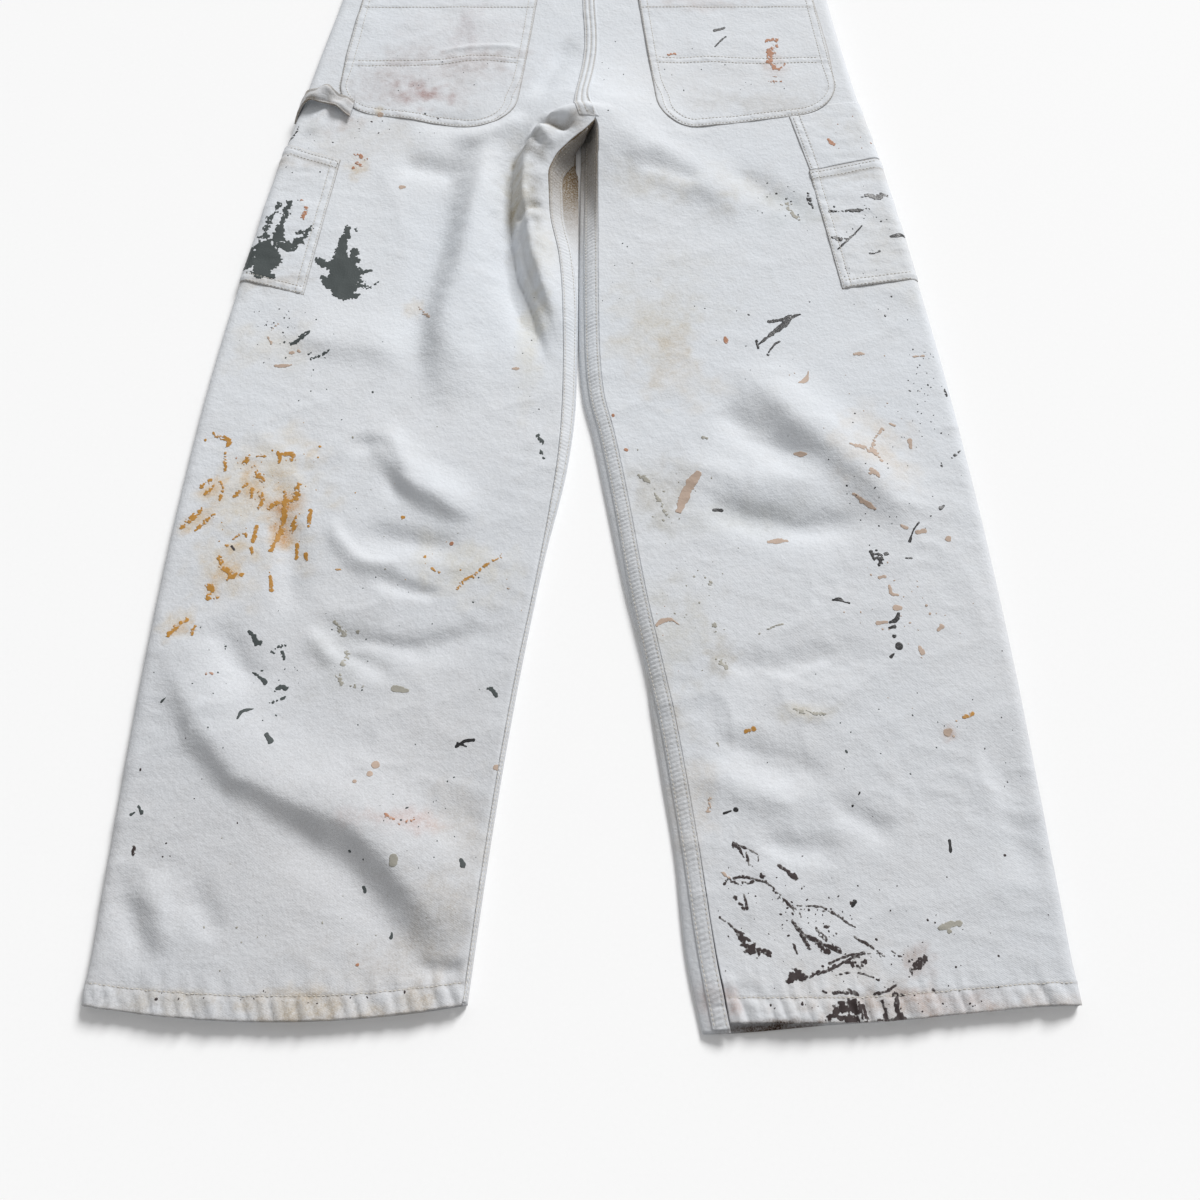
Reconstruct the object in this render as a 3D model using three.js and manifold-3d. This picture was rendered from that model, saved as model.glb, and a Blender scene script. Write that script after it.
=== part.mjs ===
// Painter's bib overalls of white cotton drill, laid flat with the back uppermost.
// Millimetres: X across the body, Y from the leg hems to the shoulder straps, Z up
// from the surface. X = 0 is the centre back seam and Y = 0 the level of the hems.
// Every piece of cloth is a wall over stations, which are points on its middle layer.
import * as THREE from 'three';
import { mergeVertices } from 'three/addons/utils/BufferGeometryUtils.js';
import Module from 'manifold-3d';

const wasm = await Module();
wasm.setup();

// ---- Cloth ----
const CLOTH = 1.2;
const HALF = CLOTH / 2;
const SEAM_GAP = 0.3;
const INSEAM_GAP = 0.5;
const HEM_DEPTH = 18;
const HEM_CLOTH = 2.4;
const FELL_WIDTH = 12;
const FELL_HALF = 1.0;
const STRAP_CLOTH = 2.0;
const STRAP_WIDTH = 38;

// ---- Levels along Y ----
const WAIST = 1070;
const CROTCH = 778;
const FRONT_CROTCH = 796;
const SEAM_TOP = 745;
const BACK_BIB_TOP = 1300;
const FRONT_BIB_TOP = 1372;
const STRAP_TOP = 1560;

// ---- Outlines: [level, X] pairs ----
const LEGS = {
  left: {
    side: -1,
    outer: [[0, -352], [280, -343], [500, -325], [700, -294], [870, -261], [960, -243], [WAIST, -226]],
    inner: [[0, -82], [120, -69], [235, -53], [345, -34], [430, -16], [500, -9], [735, -8.8], [743, -11],
      [790, -11]],
    seam: [[0, -85], [120, -72], [235, -56], [345, -37], [430, -24], [500, -20], [585, -21], [640, -25],
      [680, -33], [712, -35], [730, -35], [740, -31], [SEAM_TOP, -28]],
    arch: [[SEAM_TOP, -28.6], [758, -14], [768, -1], [775, 5.5], [CROTCH, 7.5], [792, 4], [812, 0], [WAIST, 0]],
  },
  right: {
    side: 1,
    outer: [[0, 350], [290, 333], [520, 309], [720, 278], [840, 255], [960, 237], [WAIST, 226]],
    inner: [[0, 84], [47, 74], [110, 68], [165, 60], [215, 53], [255, 48], [320, 33], [400, 18],
      [460, 7], [500, -2], [560, -6], [790, -5]],
    seam: [[0, 103], [47, 94], [110, 85], [165, 77], [215, 69], [255, 61], [320, 48], [400, 35],
      [460, 24], [500, 15], [560, 11], [SEAM_TOP, 10]],
    arch: [[SEAM_TOP, 10.5], [768, 10.4], [775, 9.2], [CROTCH, 7.5], [792, 4], [812, 0], [WAIST, 0]],
  },
};

// ---- Lie of the upper layer ----
const LOFT = [[0, 5.6], [60, 8], [300, 9.5], [550, 10.5], [700, 13], [860, 13], [1000, 10], [WAIST, 8.4]];
const LOWEST = 3.4;
const OUTER_ROLL = 9;
const INNER_ROLL = 6;
const EDGE_HEIGHT = 2.2;
const CROTCH_DOME = { x: 0, y: 785, reachX: 62, reachY: 58, height: 19 };
// The largest folds: a crest or trough line, its height, and its half-width.
const FOLDS = [
  { line: [[-90, 775], [-95, 650], [-112, 590], [-116, 490]], height: 14, reach: 24 },
  { line: [[-70, 750], [-64, 650], [-52, 575], [-45, 490]], height: -7, reach: 16 },
  { line: [[-38, 775], [-52, 735], [-52, 690], [-42, 645], [-30, 600]], height: 14, reach: 14 },
  { line: [[-270, 560], [-203, 548], [-140, 530]], height: 4, reach: 28 },
  { line: [[-182, 470], [-154, 422], [-119, 395], [-75, 383]], height: 8, reach: 18 },
  { line: [[-197, 425], [-165, 380], [-100, 355]], height: -5, reach: 18 },
  { line: [[-220, 288], [-137, 270], [-60, 290]], height: -4, reach: 18 },
  { line: [[-330, 276], [-285, 225], [-245, 170], [-165, 130], [-100, 92]], height: 8, reach: 26 },
  { line: [[-212, 138], [-165, 92], [-133, 62], [-85, 34]], height: -4, reach: 20 },
  { line: [[20, 785], [58, 746], [95, 716], [157, 677]], height: 5, reach: 24 },
  { line: [[130, 530], [173, 479], [220, 431], [262, 385]], height: 8, reach: 24 },
  { line: [[112, 496], [138, 462], [190, 425]], height: -4, reach: 18 },
  { line: [[92, 392], [167, 374], [240, 382]], height: -5, reach: 18 },
  { line: [[105, 247], [187, 258], [239, 268]], height: -4, reach: 18 },
  { line: [[92, 195], [140, 180], [195, 176]], height: -4, reach: 18 },
];

// ---- Pockets: [X, Y] corners ----
const POCKET_LIFT = 0.35;
const SEAT_POCKET = {
  top: 955,
  inTop: 49,
  inSide: [67, 832],
  inCorner: [73, 790],
  bottomIn: [106, 786],
  bottomOut: [192, 800],
  outCorner: [231, 807],
  outSide: [237, 848],
  outTop: 222,
};
const TOOL_POCKET = [[-228, 746], [-249, 598], [-330, 620], [-320, 779]];
const RULE_UPPER = [[190, 808], [205.5, 734], [340, 765.4], [330, 830]];
const RULE_LOWER = [[204.5, 733.4], [226, 604], [340, 624], [340, 764.8]];

// ---- Bibs and straps ----
const BACK_BIB_HALF = [[WAIST, 222], [1110, 200], [1165, 148], [1220, 96], [1270, 68], [BACK_BIB_TOP, 62]];
const FRONT_BIB_HALF = [[WAIST, 206], [1100, 185], [1140, 160], [1190, 142], [1260, 134], [FRONT_BIB_TOP, 130]];
const BACK_BIB_HEIGHT = 8.7;
const FRONT_BIB_LIFT = 5.1;
const BUCKLE = { x: 108, top: 1393, bar: 5, slot: 12, width: 44, tip: 26, bottom: 1338, level: 2.4, thick: 2 };
const BUTTON = { radius: 8.5, head: 2.0, neck: 2.5, neckTop: 4.8 };
const SIDE_BUTTONS = [['lower', 985], ['upper', 1042]];
const SIDE_BUTTON_INSET = 24;

// ---- Hammer loop ----
const LOOP_WIDTH = 18;
const LOOP_CLOTH = 1.8;
const LOOP_PATH = [[-220, 801, 18.5], [-233, 811, 20.5], [-246, 818, 24], [-258, 820, 25.5], [-268, 815, 22],
  [-277, 807, 15], [-280, 798, 7]];

// ---- Finishes ----
const WHITE_DRILL = { color: 0xe9eaec, roughness: 0.9, metalness: 0 };
const WORN_BRASS = { color: 0xb08d57, roughness: 0.45, metalness: 1 };

// Smooth curve through a table of [position, value] pairs, flat beyond its two ends.
function follow(table, position) {
  const last = table.length - 1;
  if (position <= table[0][0]) return table[0][1];
  if (position >= table[last][0]) return table[last][1];
  const k = table.findIndex(([at]) => at > position) - 1;
  const slope = (a, b) => (table[b][1] - table[a][1]) / (table[b][0] - table[a][0]);
  const width = table[k + 1][0] - table[k][0];
  const startSlope = slope(Math.max(k - 1, 0), k + 1);
  const endSlope = slope(k, Math.min(k + 2, last));
  const t = (position - table[k][0]) / width;
  const ease = t * t * (3 - 2 * t);
  const bend = t * (1 - t);
  return table[k][1] * (1 - ease) + table[k + 1][1] * ease
    + width * bend * ((1 - t) * startSlope - t * endSlope);
}

// Quarter-round profile of a folded edge: 0 on the fold, 1 once past it.
function roll(distance, radius) {
  const q = THREE.MathUtils.clamp(1 - distance / radius, 0, 1);
  return Math.sqrt(1 - q * q);
}

function foldHeight(x, y) {
  const here = new THREE.Vector2(x, y);
  let total = 0;
  for (const fold of FOLDS) {
    let nearest = Infinity;
    let along = 0;
    const stretches = fold.line.length - 1;
    for (let k = 0; k < stretches; k += 1) {
      const a = new THREE.Vector2(...fold.line[k]);
      const b = new THREE.Vector2(...fold.line[k + 1]);
      const run = b.clone().sub(a);
      const t = THREE.MathUtils.clamp(here.clone().sub(a).dot(run) / run.lengthSq(), 0, 1);
      const away = here.distanceTo(a.addScaledVector(run, t));
      if (away < nearest) {
        nearest = away;
        along = (k + t) / stretches;
      }
    }
    const taper = Math.sin(Math.PI * THREE.MathUtils.clamp(along, 0.12, 0.88)) ** 0.5;
    total += fold.height * taper * Math.exp(-((nearest / fold.reach) ** 2));
  }
  return total;
}

// Height of the upper layer's middle before its edges are turned down.
function openHeight(x, y) {
  const dome = CROTCH_DOME;
  const spread = ((x - dome.x) / dome.reachX) ** 2 + ((y - dome.y) / dome.reachY) ** 2;
  return Math.max(LOWEST, follow(LOFT, y) + dome.height * Math.exp(-spread) + foldHeight(x, y));
}

function edgeHeight(y) {
  const hem = THREE.MathUtils.smoothstep(y, HEM_DEPTH, HEM_DEPTH + 14);
  return THREE.MathUtils.lerp(HEM_CLOTH + SEAM_GAP + HEM_CLOTH / 2, EDGE_HEIGHT, hem);
}

function upperHeight(leg, x, y) {
  const low = edgeHeight(y);
  const outer = roll(leg.side * (follow(leg.outer, y) - x), OUTER_ROLL);
  const inner = y < SEAM_TOP ? roll(leg.side * (x - follow(leg.inner, y)), INNER_ROLL) : 1;
  return low + (Math.max(openHeight(x, y), low) - low) * outer * inner;
}

// Outward direction of a curve z(x) in the cross-section at one level.
function outward(heightAt, x) {
  const step = 0.05;
  const slope = (heightAt(x + step) - heightAt(x - step)) / (2 * step);
  return new THREE.Vector3(-slope, 0, 1).normalize();
}

// The hems bow: each level near them is shifted along Y, less and less up the leg.
function hemShift(leg, x, y, isFront) {
  const fade = THREE.MathUtils.clamp(1 - y / 110, 0, 1);
  if (leg.side < 0) return fade * (11 * ((x + 217) / 134) ** 2 - 7);
  const back = 12 * THREE.MathUtils.smoothstep(x, 175, 350) - 8;
  const forward = isFront ? 7 * (1 - THREE.MathUtils.smoothstep(x, 84, 200)) : 0;
  return fade * (back - forward);
}

function levels() {
  const list = [0, HEM_DEPTH / 2, HEM_DEPTH - 0.5, HEM_DEPTH + 0.5, 34];
  const steps = 23;
  for (let k = 1; k <= steps; k += 1) list.push(34 + (SEAM_TOP - 34) * k / steps);
  return list.concat([758, 768, 775, CROTCH, 792, 812, 838, 868, 900, 935, 972, 1005, 1040, WAIST]);
}

// Closed wall between two faces, each a set distance from the stations along their outward direction.
function wall(rows) {
  const across = rows[0].length;
  const points = [];
  for (const face of ['under', 'over']) {
    for (const row of rows) {
      for (const station of row) {
        points.push(...station.at.clone().addScaledVector(station.out, station[face]));
      }
    }
  }
  const id = (face, j, i) => (face * rows.length + j) * across + i;
  const index = [];
  const quad = (a, b, c, d) => index.push(a, b, c, a, c, d);
  for (let j = 0; j < rows.length - 1; j += 1) {
    for (let i = 0; i < across - 1; i += 1) {
      quad(id(1, j, i), id(1, j, i + 1), id(1, j + 1, i + 1), id(1, j + 1, i));
      quad(id(0, j, i), id(0, j + 1, i), id(0, j + 1, i + 1), id(0, j, i + 1));
    }
    quad(id(0, j + 1, 0), id(0, j, 0), id(1, j, 0), id(1, j + 1, 0));
    quad(id(0, j, across - 1), id(0, j + 1, across - 1), id(1, j + 1, across - 1), id(1, j, across - 1));
  }
  const end = rows.length - 1;
  for (let i = 0; i < across - 1; i += 1) {
    quad(id(0, 0, i), id(0, 0, i + 1), id(1, 0, i + 1), id(1, 0, i));
    quad(id(0, end, i + 1), id(0, end, i), id(1, end, i), id(1, end, i + 1));
  }
  const geometry = new THREE.BufferGeometry();
  geometry.setAttribute('position', new THREE.Float32BufferAttribute(points, 3));
  geometry.setIndex(index);
  return facingOut(geometry);
}

function facingOut(geometry) {
  const at = geometry.attributes.position;
  const index = geometry.index.array;
  const [a, b, c] = [new THREE.Vector3(), new THREE.Vector3(), new THREE.Vector3()];
  let volume = 0;
  for (let k = 0; k < index.length; k += 3) {
    a.fromBufferAttribute(at, index[k]);
    b.fromBufferAttribute(at, index[k + 1]);
    c.fromBufferAttribute(at, index[k + 2]);
    volume += a.dot(b.cross(c));
  }
  if (volume < 0) index.reverse();
  return geometry;
}

function toSolid(geometry) {
  const bare = geometry.clone();
  bare.deleteAttribute('normal');
  bare.deleteAttribute('uv');
  const merged = mergeVertices(bare, 1e-4);
  const mesh = new wasm.Mesh({
    numProp: 3,
    vertProperties: new Float32Array(merged.attributes.position.array),
    triVerts: new Uint32Array(merged.index.array),
  });
  return new wasm.Manifold(mesh);
}

function toGeometry(solid) {
  const mesh = solid.getMesh();
  const geometry = new THREE.BufferGeometry();
  geometry.setAttribute('position', new THREE.Float32BufferAttribute(mesh.vertProperties, 3));
  geometry.setIndex(Array.from(mesh.triVerts));
  return geometry;
}

// Tall block over an outline, for cutting a pocket out of the layer above a panel.
function block(shape) {
  const tall = 120;
  return toSolid(new THREE.ExtrudeGeometry(shape, { depth: tall, bevelEnabled: false, curveSegments: 5 }));
}

// ---- Trouser backs ----
function backEdge(leg, y) {
  if (y < SEAM_TOP) return follow(leg.seam, y) + leg.side * INSEAM_GAP;
  return follow(leg.arch, y) + leg.side * SEAM_GAP / 2;
}

function backRows(leg, under, over, firstLevel = 0) {
  const rows = [];
  for (const y of levels().filter((level) => level >= firstLevel)) {
    const start = backEdge(leg, y);
    const end = follow(leg.outer, y);
    const rolled = end - leg.side * OUTER_ROLL;
    const spans = 10;
    const xs = Array.from({ length: spans + 1 }, (_, k) => start + (rolled - start) * k / spans);
    for (const left of [4.5, 1.4, 0.01]) xs.push(end - leg.side * left);
    const spare = y < HEM_DEPTH ? (HEM_CLOTH - CLOTH) / 2 : 0;
    rows.push(xs.map((x) => ({
      at: new THREE.Vector3(x, y + hemShift(leg, x, y, false), upperHeight(leg, x, y)),
      out: outward((u) => upperHeight(leg, u, y), x),
      under: under - (under < 0 ? spare : 0),
      over: over + spare,
    })));
  }
  return rows;
}

// ---- Trouser fronts: flat on the surface, and turned up over the inside leg to the inseam ----
function frontRows(leg) {
  const seamLine = [[FRONT_CROTCH, -8], [1000, -3], [WAIST, 0]];
  const top = levels().filter((y) => y > FRONT_CROTCH);
  const low = levels().filter((y) => y < SEAM_TOP + 1);
  return [...low, 790, FRONT_CROTCH, ...top].map((y) => {
    const gap = leg.side * SEAM_GAP / 2;
    const start = y < FRONT_CROTCH ? follow(leg.inner, y) + leg.side * 1.5 : follow(seamLine, y) + gap;
    const end = follow(leg.outer, y);
    const thick = y < HEM_DEPTH ? HEM_CLOTH : CLOTH;
    return [0, 0.35, 0.7, 1].map((part) => {
      const x = THREE.MathUtils.lerp(start, end, part);
      const at = new THREE.Vector3(x, y + hemShift(leg, x, y, true), 0);
      return { at, out: new THREE.Vector3(0, 0, 1), under: 0, over: thick };
    });
  });
}

function turnUpRows(leg) {
  const turn = 1.5;
  return levels().filter((y) => y < SEAM_TOP + 1).map((y) => {
    const edge = follow(leg.inner, y);
    const seam = follow(leg.seam, y);
    const reach = leg.side * (seam - edge);
    const low = HALF + turn;
    const radius = Math.max(reach, INNER_ROLL);
    const heightAt = (x) => {
      const away = leg.side * (x - edge);
      return low + (Math.max(upperHeight(leg, seam, y), openHeight(x, y) * 0.6) - low) * roll(away, radius);
    };
    const place = (x, z) => new THREE.Vector3(x, y + hemShift(leg, x, y, true), z);
    const row = [{
      at: place(edge + leg.side * 7, HALF),
      out: new THREE.Vector3(0, 0, -1),
      under: -HALF,
      over: HALF,
    }];
    for (const angle of [0, Math.PI / 4, Math.PI / 2]) {
      const out = new THREE.Vector3(-leg.side * Math.sin(angle), 0, -Math.cos(angle));
      const centre = place(edge + leg.side * turn, low);
      row.push({ at: centre.addScaledVector(out, turn), out, under: -HALF, over: HALF });
    }
    for (const part of [0.08, 0.25, 0.5, 0.75, 1]) {
      const x = edge + leg.side * reach * part;
      const isFell = reach * (1 - part) < FELL_WIDTH - 1;
      const half = isFell && reach > FELL_WIDTH ? FELL_HALF : HALF;
      row.push({ at: place(x, heightAt(x)), out: outward(heightAt, x), under: -HALF, over: half });
    }
    return row;
  });
}

function seatPocketShape(side, grow) {
  const p = SEAT_POCKET;
  const shape = new THREE.Shape();
  const at = ([x, y], outX, outY) => [side * (x + outX * grow), y + outY * grow];
  shape.moveTo(...at([p.inTop, p.top], -1, 1));
  shape.lineTo(...at(p.inSide, -1, 0));
  shape.quadraticCurveTo(...at(p.inCorner, -1, -1), ...at(p.bottomIn, 0, -1));
  shape.lineTo(...at(p.bottomOut, 0, -1));
  shape.quadraticCurveTo(...at(p.outCorner, 1, -1), ...at(p.outSide, 1, 0));
  shape.lineTo(...at([p.outTop, p.top], 1, 1));
  shape.closePath();
  return shape;
}

function cornersShape(corners) {
  return new THREE.Shape(corners.map(([x, y]) => new THREE.Vector2(x, y)));
}

// A patch pocket is the part of the layer just above a panel that lies inside the pocket's outline.
function patchPocket(leg, shape, cutAway) {
  const layer = toSolid(wall(backRows(leg, HALF + POCKET_LIFT, HALF + POCKET_LIFT + CLOTH, 560)));
  const patch = layer.intersect(block(shape));
  return toGeometry(cutAway ? patch.subtract(block(cutAway)) : patch);
}

// ---- Bibs ----
function bibRows(ys, half, heightAt, thickAt) {
  const columns = 8;
  return ys.map((y) => Array.from({ length: columns + 1 }, (_, i) => {
    const x = follow(half, y) * (2 * i / columns - 1);
    const thick = thickAt(y);
    return { at: new THREE.Vector3(x, y, heightAt(y)), out: new THREE.Vector3(0, 0, 1), under: 0, over: thick };
  }));
}

function backBib() {
  const ys = [WAIST + SEAM_GAP, 1095, 1125, 1160, 1195, 1230, 1265, BACK_BIB_TOP];
  return wall(bibRows(ys, BACK_BIB_HALF, () => BACK_BIB_HEIGHT - HALF, () => CLOTH));
}

function frontBib() {
  const hem = FRONT_BIB_TOP - 20;
  const ys = [WAIST + SEAM_GAP, 1100, 1140, 1190, 1240, 1290, 1330, hem - 0.5, hem + 0.5, FRONT_BIB_TOP];
  const lift = (y) => FRONT_BIB_LIFT * THREE.MathUtils.smoothstep(y, 1100, 1330);
  return wall(bibRows(ys, FRONT_BIB_HALF, lift, (y) => (y > hem ? HEM_CLOTH : CLOTH)));
}

// ---- Straps: a band along a path, as wide as the strap in X ----
function strapPath(side) {
  const half = STRAP_CLOTH / 2;
  const topLevel = 3.6;
  const loopRadius = (topLevel - half) / 2;
  const path = [[36, 1255, 10.8], [44, 1296, 10.8], [52, 1335, 9.8], [60, 1376, 9.2], [68, 1414, 6.2],
    [76, 1452, topLevel], [88, 1510, topLevel], [99, STRAP_TOP, topLevel]];
  for (const angle of [45, 90, 135]) {
    const turn = THREE.MathUtils.degToRad(angle);
    path.push([99, STRAP_TOP + loopRadius * Math.sin(turn), half + loopRadius * (1 + Math.cos(turn))]);
  }
  const barLevel = BUCKLE.level + BUCKLE.thick + 0.4 + half;
  const barRadius = (barLevel - half) / 2;
  const barAt = BUCKLE.top - BUCKLE.bar - 1.5;
  path.push([99, STRAP_TOP, half], [104, 1470, half], [BUCKLE.x, barAt, half]);
  for (const angle of [45, 90, 135]) {
    const turn = THREE.MathUtils.degToRad(angle);
    path.push([BUCKLE.x, barAt - barRadius * Math.sin(turn), half + barRadius * (1 - Math.cos(turn))]);
  }
  path.push([BUCKLE.x, barAt, barLevel], [BUCKLE.x - 1, barAt + 26, barLevel]);
  return path.map(([x, y, z]) => new THREE.Vector3(side * x, y, z));
}

function bandRows(path, width, thick, acrossAt) {
  return path.map((at, k) => {
    const before = path[Math.max(k - 1, 0)];
    const after = path[Math.min(k + 1, path.length - 1)];
    const run = after.clone().sub(before).normalize();
    const across = acrossAt(k);
    const out = across.clone().cross(run).normalize();
    return [-0.5, 0.5].map((part) => ({
      at: at.clone().addScaledVector(across, width * part),
      out,
      under: -thick / 2,
      over: thick / 2,
    }));
  });
}

function strap(side) {
  return wall(bandRows(strapPath(side), STRAP_WIDTH, STRAP_CLOTH, () => new THREE.Vector3(1, 0, 0)));
}

// The hammer loop's band lies across the leg at its seat end and turns over the outseam.
function hammerLoop() {
  const path = LOOP_PATH.map((point) => new THREE.Vector3(...point));
  const turns = [78, 84, 90, 84, 78, 74, 72];
  return wall(bandRows(path, LOOP_WIDTH, LOOP_CLOTH, (k) => {
    const angle = THREE.MathUtils.degToRad(turns[k]);
    return new THREE.Vector3(Math.cos(angle), Math.sin(angle), 0);
  }));
}

// ---- Hardware ----
function buckle(side) {
  const b = BUCKLE;
  const x = side * b.x;
  const half = b.width / 2;
  const shape = new THREE.Shape();
  shape.moveTo(x - half, b.top);
  shape.lineTo(x - half, b.top - 22);
  shape.lineTo(x - b.tip / 2, b.bottom + 8);
  shape.quadraticCurveTo(x - b.tip / 2, b.bottom, x, b.bottom);
  shape.quadraticCurveTo(x + b.tip / 2, b.bottom, x + b.tip / 2, b.bottom + 8);
  shape.lineTo(x + half, b.top - 22);
  shape.lineTo(x + half, b.top);
  const slot = new THREE.Path();
  const slotHalf = half - 2;
  slot.moveTo(x - slotHalf, b.top - b.bar);
  slot.lineTo(x + slotHalf, b.top - b.bar);
  slot.lineTo(x + slotHalf, b.top - b.bar - b.slot);
  slot.lineTo(x - slotHalf, b.top - b.bar - b.slot);
  const keyhole = new THREE.Path();
  const neck = BUTTON.neck + 0.6;
  const eye = BUTTON.radius - 1;
  keyhole.moveTo(x - neck, b.bottom + 9);
  keyhole.absarc(x, b.bottom + 9, neck, Math.PI, 2 * Math.PI, false);
  keyhole.lineTo(x + neck, b.bottom + 18);
  keyhole.absarc(x, b.bottom + 25, eye, -0.42 * Math.PI, 1.42 * Math.PI, false);
  keyhole.closePath();
  shape.holes.push(slot, keyhole);
  const plate = new THREE.ExtrudeGeometry(shape, { depth: b.thick, bevelEnabled: false, curveSegments: 8 });
  return plate.translate(0, 0, b.level);
}

function turned(profile) {
  const lathe = new THREE.LatheGeometry(profile.map(([r, z]) => new THREE.Vector2(r, z)), 18);
  return lathe.rotateX(Math.PI / 2);
}

// Hook button: head on the surface side of the buckle, neck through its keyhole, up to the bib.
function bibButton(side) {
  const b = BUTTON;
  const profile = [[0, 0], [b.radius - 0.6, 0], [b.radius, 0.6], [b.radius, b.head - 0.4],
    [b.radius - 0.4, b.head], [b.neck, b.head], [b.neck, b.neckTop], [0, b.neckTop]];
  return turned(profile).translate(side * BUCKLE.x, BUCKLE.bottom + 9, 0);
}

function sideButton(side, y) {
  const b = BUTTON;
  const leg = side < 0 ? LEGS.left : LEGS.right;
  const x = follow(leg.outer, y) - side * SIDE_BUTTON_INSET;
  const rest = upperHeight(leg, x, y) + HALF + 1.2;
  const profile = [[0, 0], [b.radius - 0.4, 0], [b.radius, 0.4], [b.radius, b.head - 0.6],
    [b.radius - 0.6, b.head], [0, b.head + 0.3]];
  return turned(profile).translate(x, y, rest);
}

// ---- Assembly ----
const overalls = new THREE.Group();

function piece(name, geometry, finish) {
  const mesh = new THREE.Mesh(geometry, new THREE.MeshStandardMaterial(finish));
  mesh.name = name;
  overalls.add(mesh);
}

for (const [name, leg] of Object.entries(LEGS)) {
  const front = toSolid(wall(frontRows(leg))).add(toSolid(wall(turnUpRows(leg))));
  piece(`front_${name}`, toGeometry(front), WHITE_DRILL);
  piece(`back_${name}`, wall(backRows(leg, -HALF, HALF)), WHITE_DRILL);
  piece(`seat_pocket_${name}`, patchPocket(leg, seatPocketShape(leg.side, 0)), WHITE_DRILL);
  piece(`strap_${name}`, strap(leg.side), WHITE_DRILL);
  piece(`buckle_${name}`, buckle(leg.side), WORN_BRASS);
  piece(`bib_button_${name}`, bibButton(leg.side), WORN_BRASS);
  for (const [level, y] of SIDE_BUTTONS) {
    piece(`side_button_${name}_${level}`, sideButton(leg.side, y), WORN_BRASS);
  }
}
piece('tool_pocket', patchPocket(LEGS.left, cornersShape(TOOL_POCKET)), WHITE_DRILL);
const overRule = seatPocketShape(1, 0.4);
piece('rule_pocket_upper', patchPocket(LEGS.right, cornersShape(RULE_UPPER), overRule), WHITE_DRILL);
piece('rule_pocket_lower', patchPocket(LEGS.right, cornersShape(RULE_LOWER)), WHITE_DRILL);
piece('hammer_loop', hammerLoop(), WHITE_DRILL);
piece('back_bib', backBib(), WHITE_DRILL);
piece('front_bib', frontBib(), WHITE_DRILL);

// The origin is the middle of the surface that the overalls lie on.
const extent = new THREE.Box3().setFromObject(overalls);
const middle = extent.getCenter(new THREE.Vector3());
overalls.position.set(-middle.x, -middle.y, -extent.min.z);

export default overalls;
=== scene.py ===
import math

import bpy
import numpy as np
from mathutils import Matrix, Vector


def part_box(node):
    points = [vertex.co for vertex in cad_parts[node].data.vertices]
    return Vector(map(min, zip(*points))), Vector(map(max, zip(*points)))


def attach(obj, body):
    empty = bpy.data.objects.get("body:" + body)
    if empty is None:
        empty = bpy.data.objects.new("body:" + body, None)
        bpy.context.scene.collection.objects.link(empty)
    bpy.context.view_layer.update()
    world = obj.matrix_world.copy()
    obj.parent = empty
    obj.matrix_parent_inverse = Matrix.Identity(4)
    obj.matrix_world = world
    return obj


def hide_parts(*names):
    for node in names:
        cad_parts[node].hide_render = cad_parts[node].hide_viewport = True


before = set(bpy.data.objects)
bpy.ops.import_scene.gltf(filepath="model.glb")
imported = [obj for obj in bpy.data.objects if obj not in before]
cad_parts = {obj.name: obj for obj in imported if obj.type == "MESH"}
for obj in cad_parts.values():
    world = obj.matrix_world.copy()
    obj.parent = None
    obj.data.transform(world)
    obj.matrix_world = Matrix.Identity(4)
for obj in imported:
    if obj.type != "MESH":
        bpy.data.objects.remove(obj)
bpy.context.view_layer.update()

bl_info = {
    "name": "Painter's bib overalls",
    "version": (1, 0, 0),
    "blender": (4, 5, 0),
    "location": "View3D > Sidebar > Overalls",
    "description": "White drill bib overalls, laid flat and spattered with dried paint",
    "category": "Add Mesh",
}

MM = 0.001

# ---- The cutting frame, in millimetres: X from the centre back seam, Y up from the hems ----
BUCKLE_TOP = 1393.0
BUCKLE_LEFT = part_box("buckle_left")
BUCKLE_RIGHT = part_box("buckle_right")
CENTRE_X = (BUCKLE_LEFT[0].x + BUCKLE_RIGHT[1].x) / 2
HEM_Y = BUCKLE_LEFT[1].y - BUCKLE_TOP * MM

CLOTH = 1.2
HALF = CLOTH / 2
SEAM_GAP = 0.3
INSEAM_GAP = 0.05
HEM_DEPTH = 18.0
HEM_CLOTH = 2.4
# How far up the leg a hem's bow fades out.
HEM_BOW = 110
# How far a hem's stitch row lies under its upper edge, and where the rows of the two felled seams lie.
HEM_ROW = 2.2
FELL_WIDTH = 12.0
FELL_ROWS = (1.6, 10.2)
SEAT_ROWS = (1.8, 6.2, 10.8)
# A pocket's deep top hem, and how far apart the two rows of its facing are.
TOP_HEM = 18.0
FACING_ROWS = (0, 6.5)
STRAP_CLOTH = 2.0
STRAP_WIDTH = 38.0

WAIST = 1070.0
CROTCH = 778.0
FRONT_CROTCH = 796.0
SEAM_TOP = 745.0
# Highest foot of the front's turn up to the back, and the least width that the turn is drawn at.
FOOT_TOP = 792.0
NARROWEST_TURN = 1.7
BACK_BIB_TOP = 1300.0
FRONT_BIB_TOP = 1372.0
STRAP_TOP = 1560.0

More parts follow.
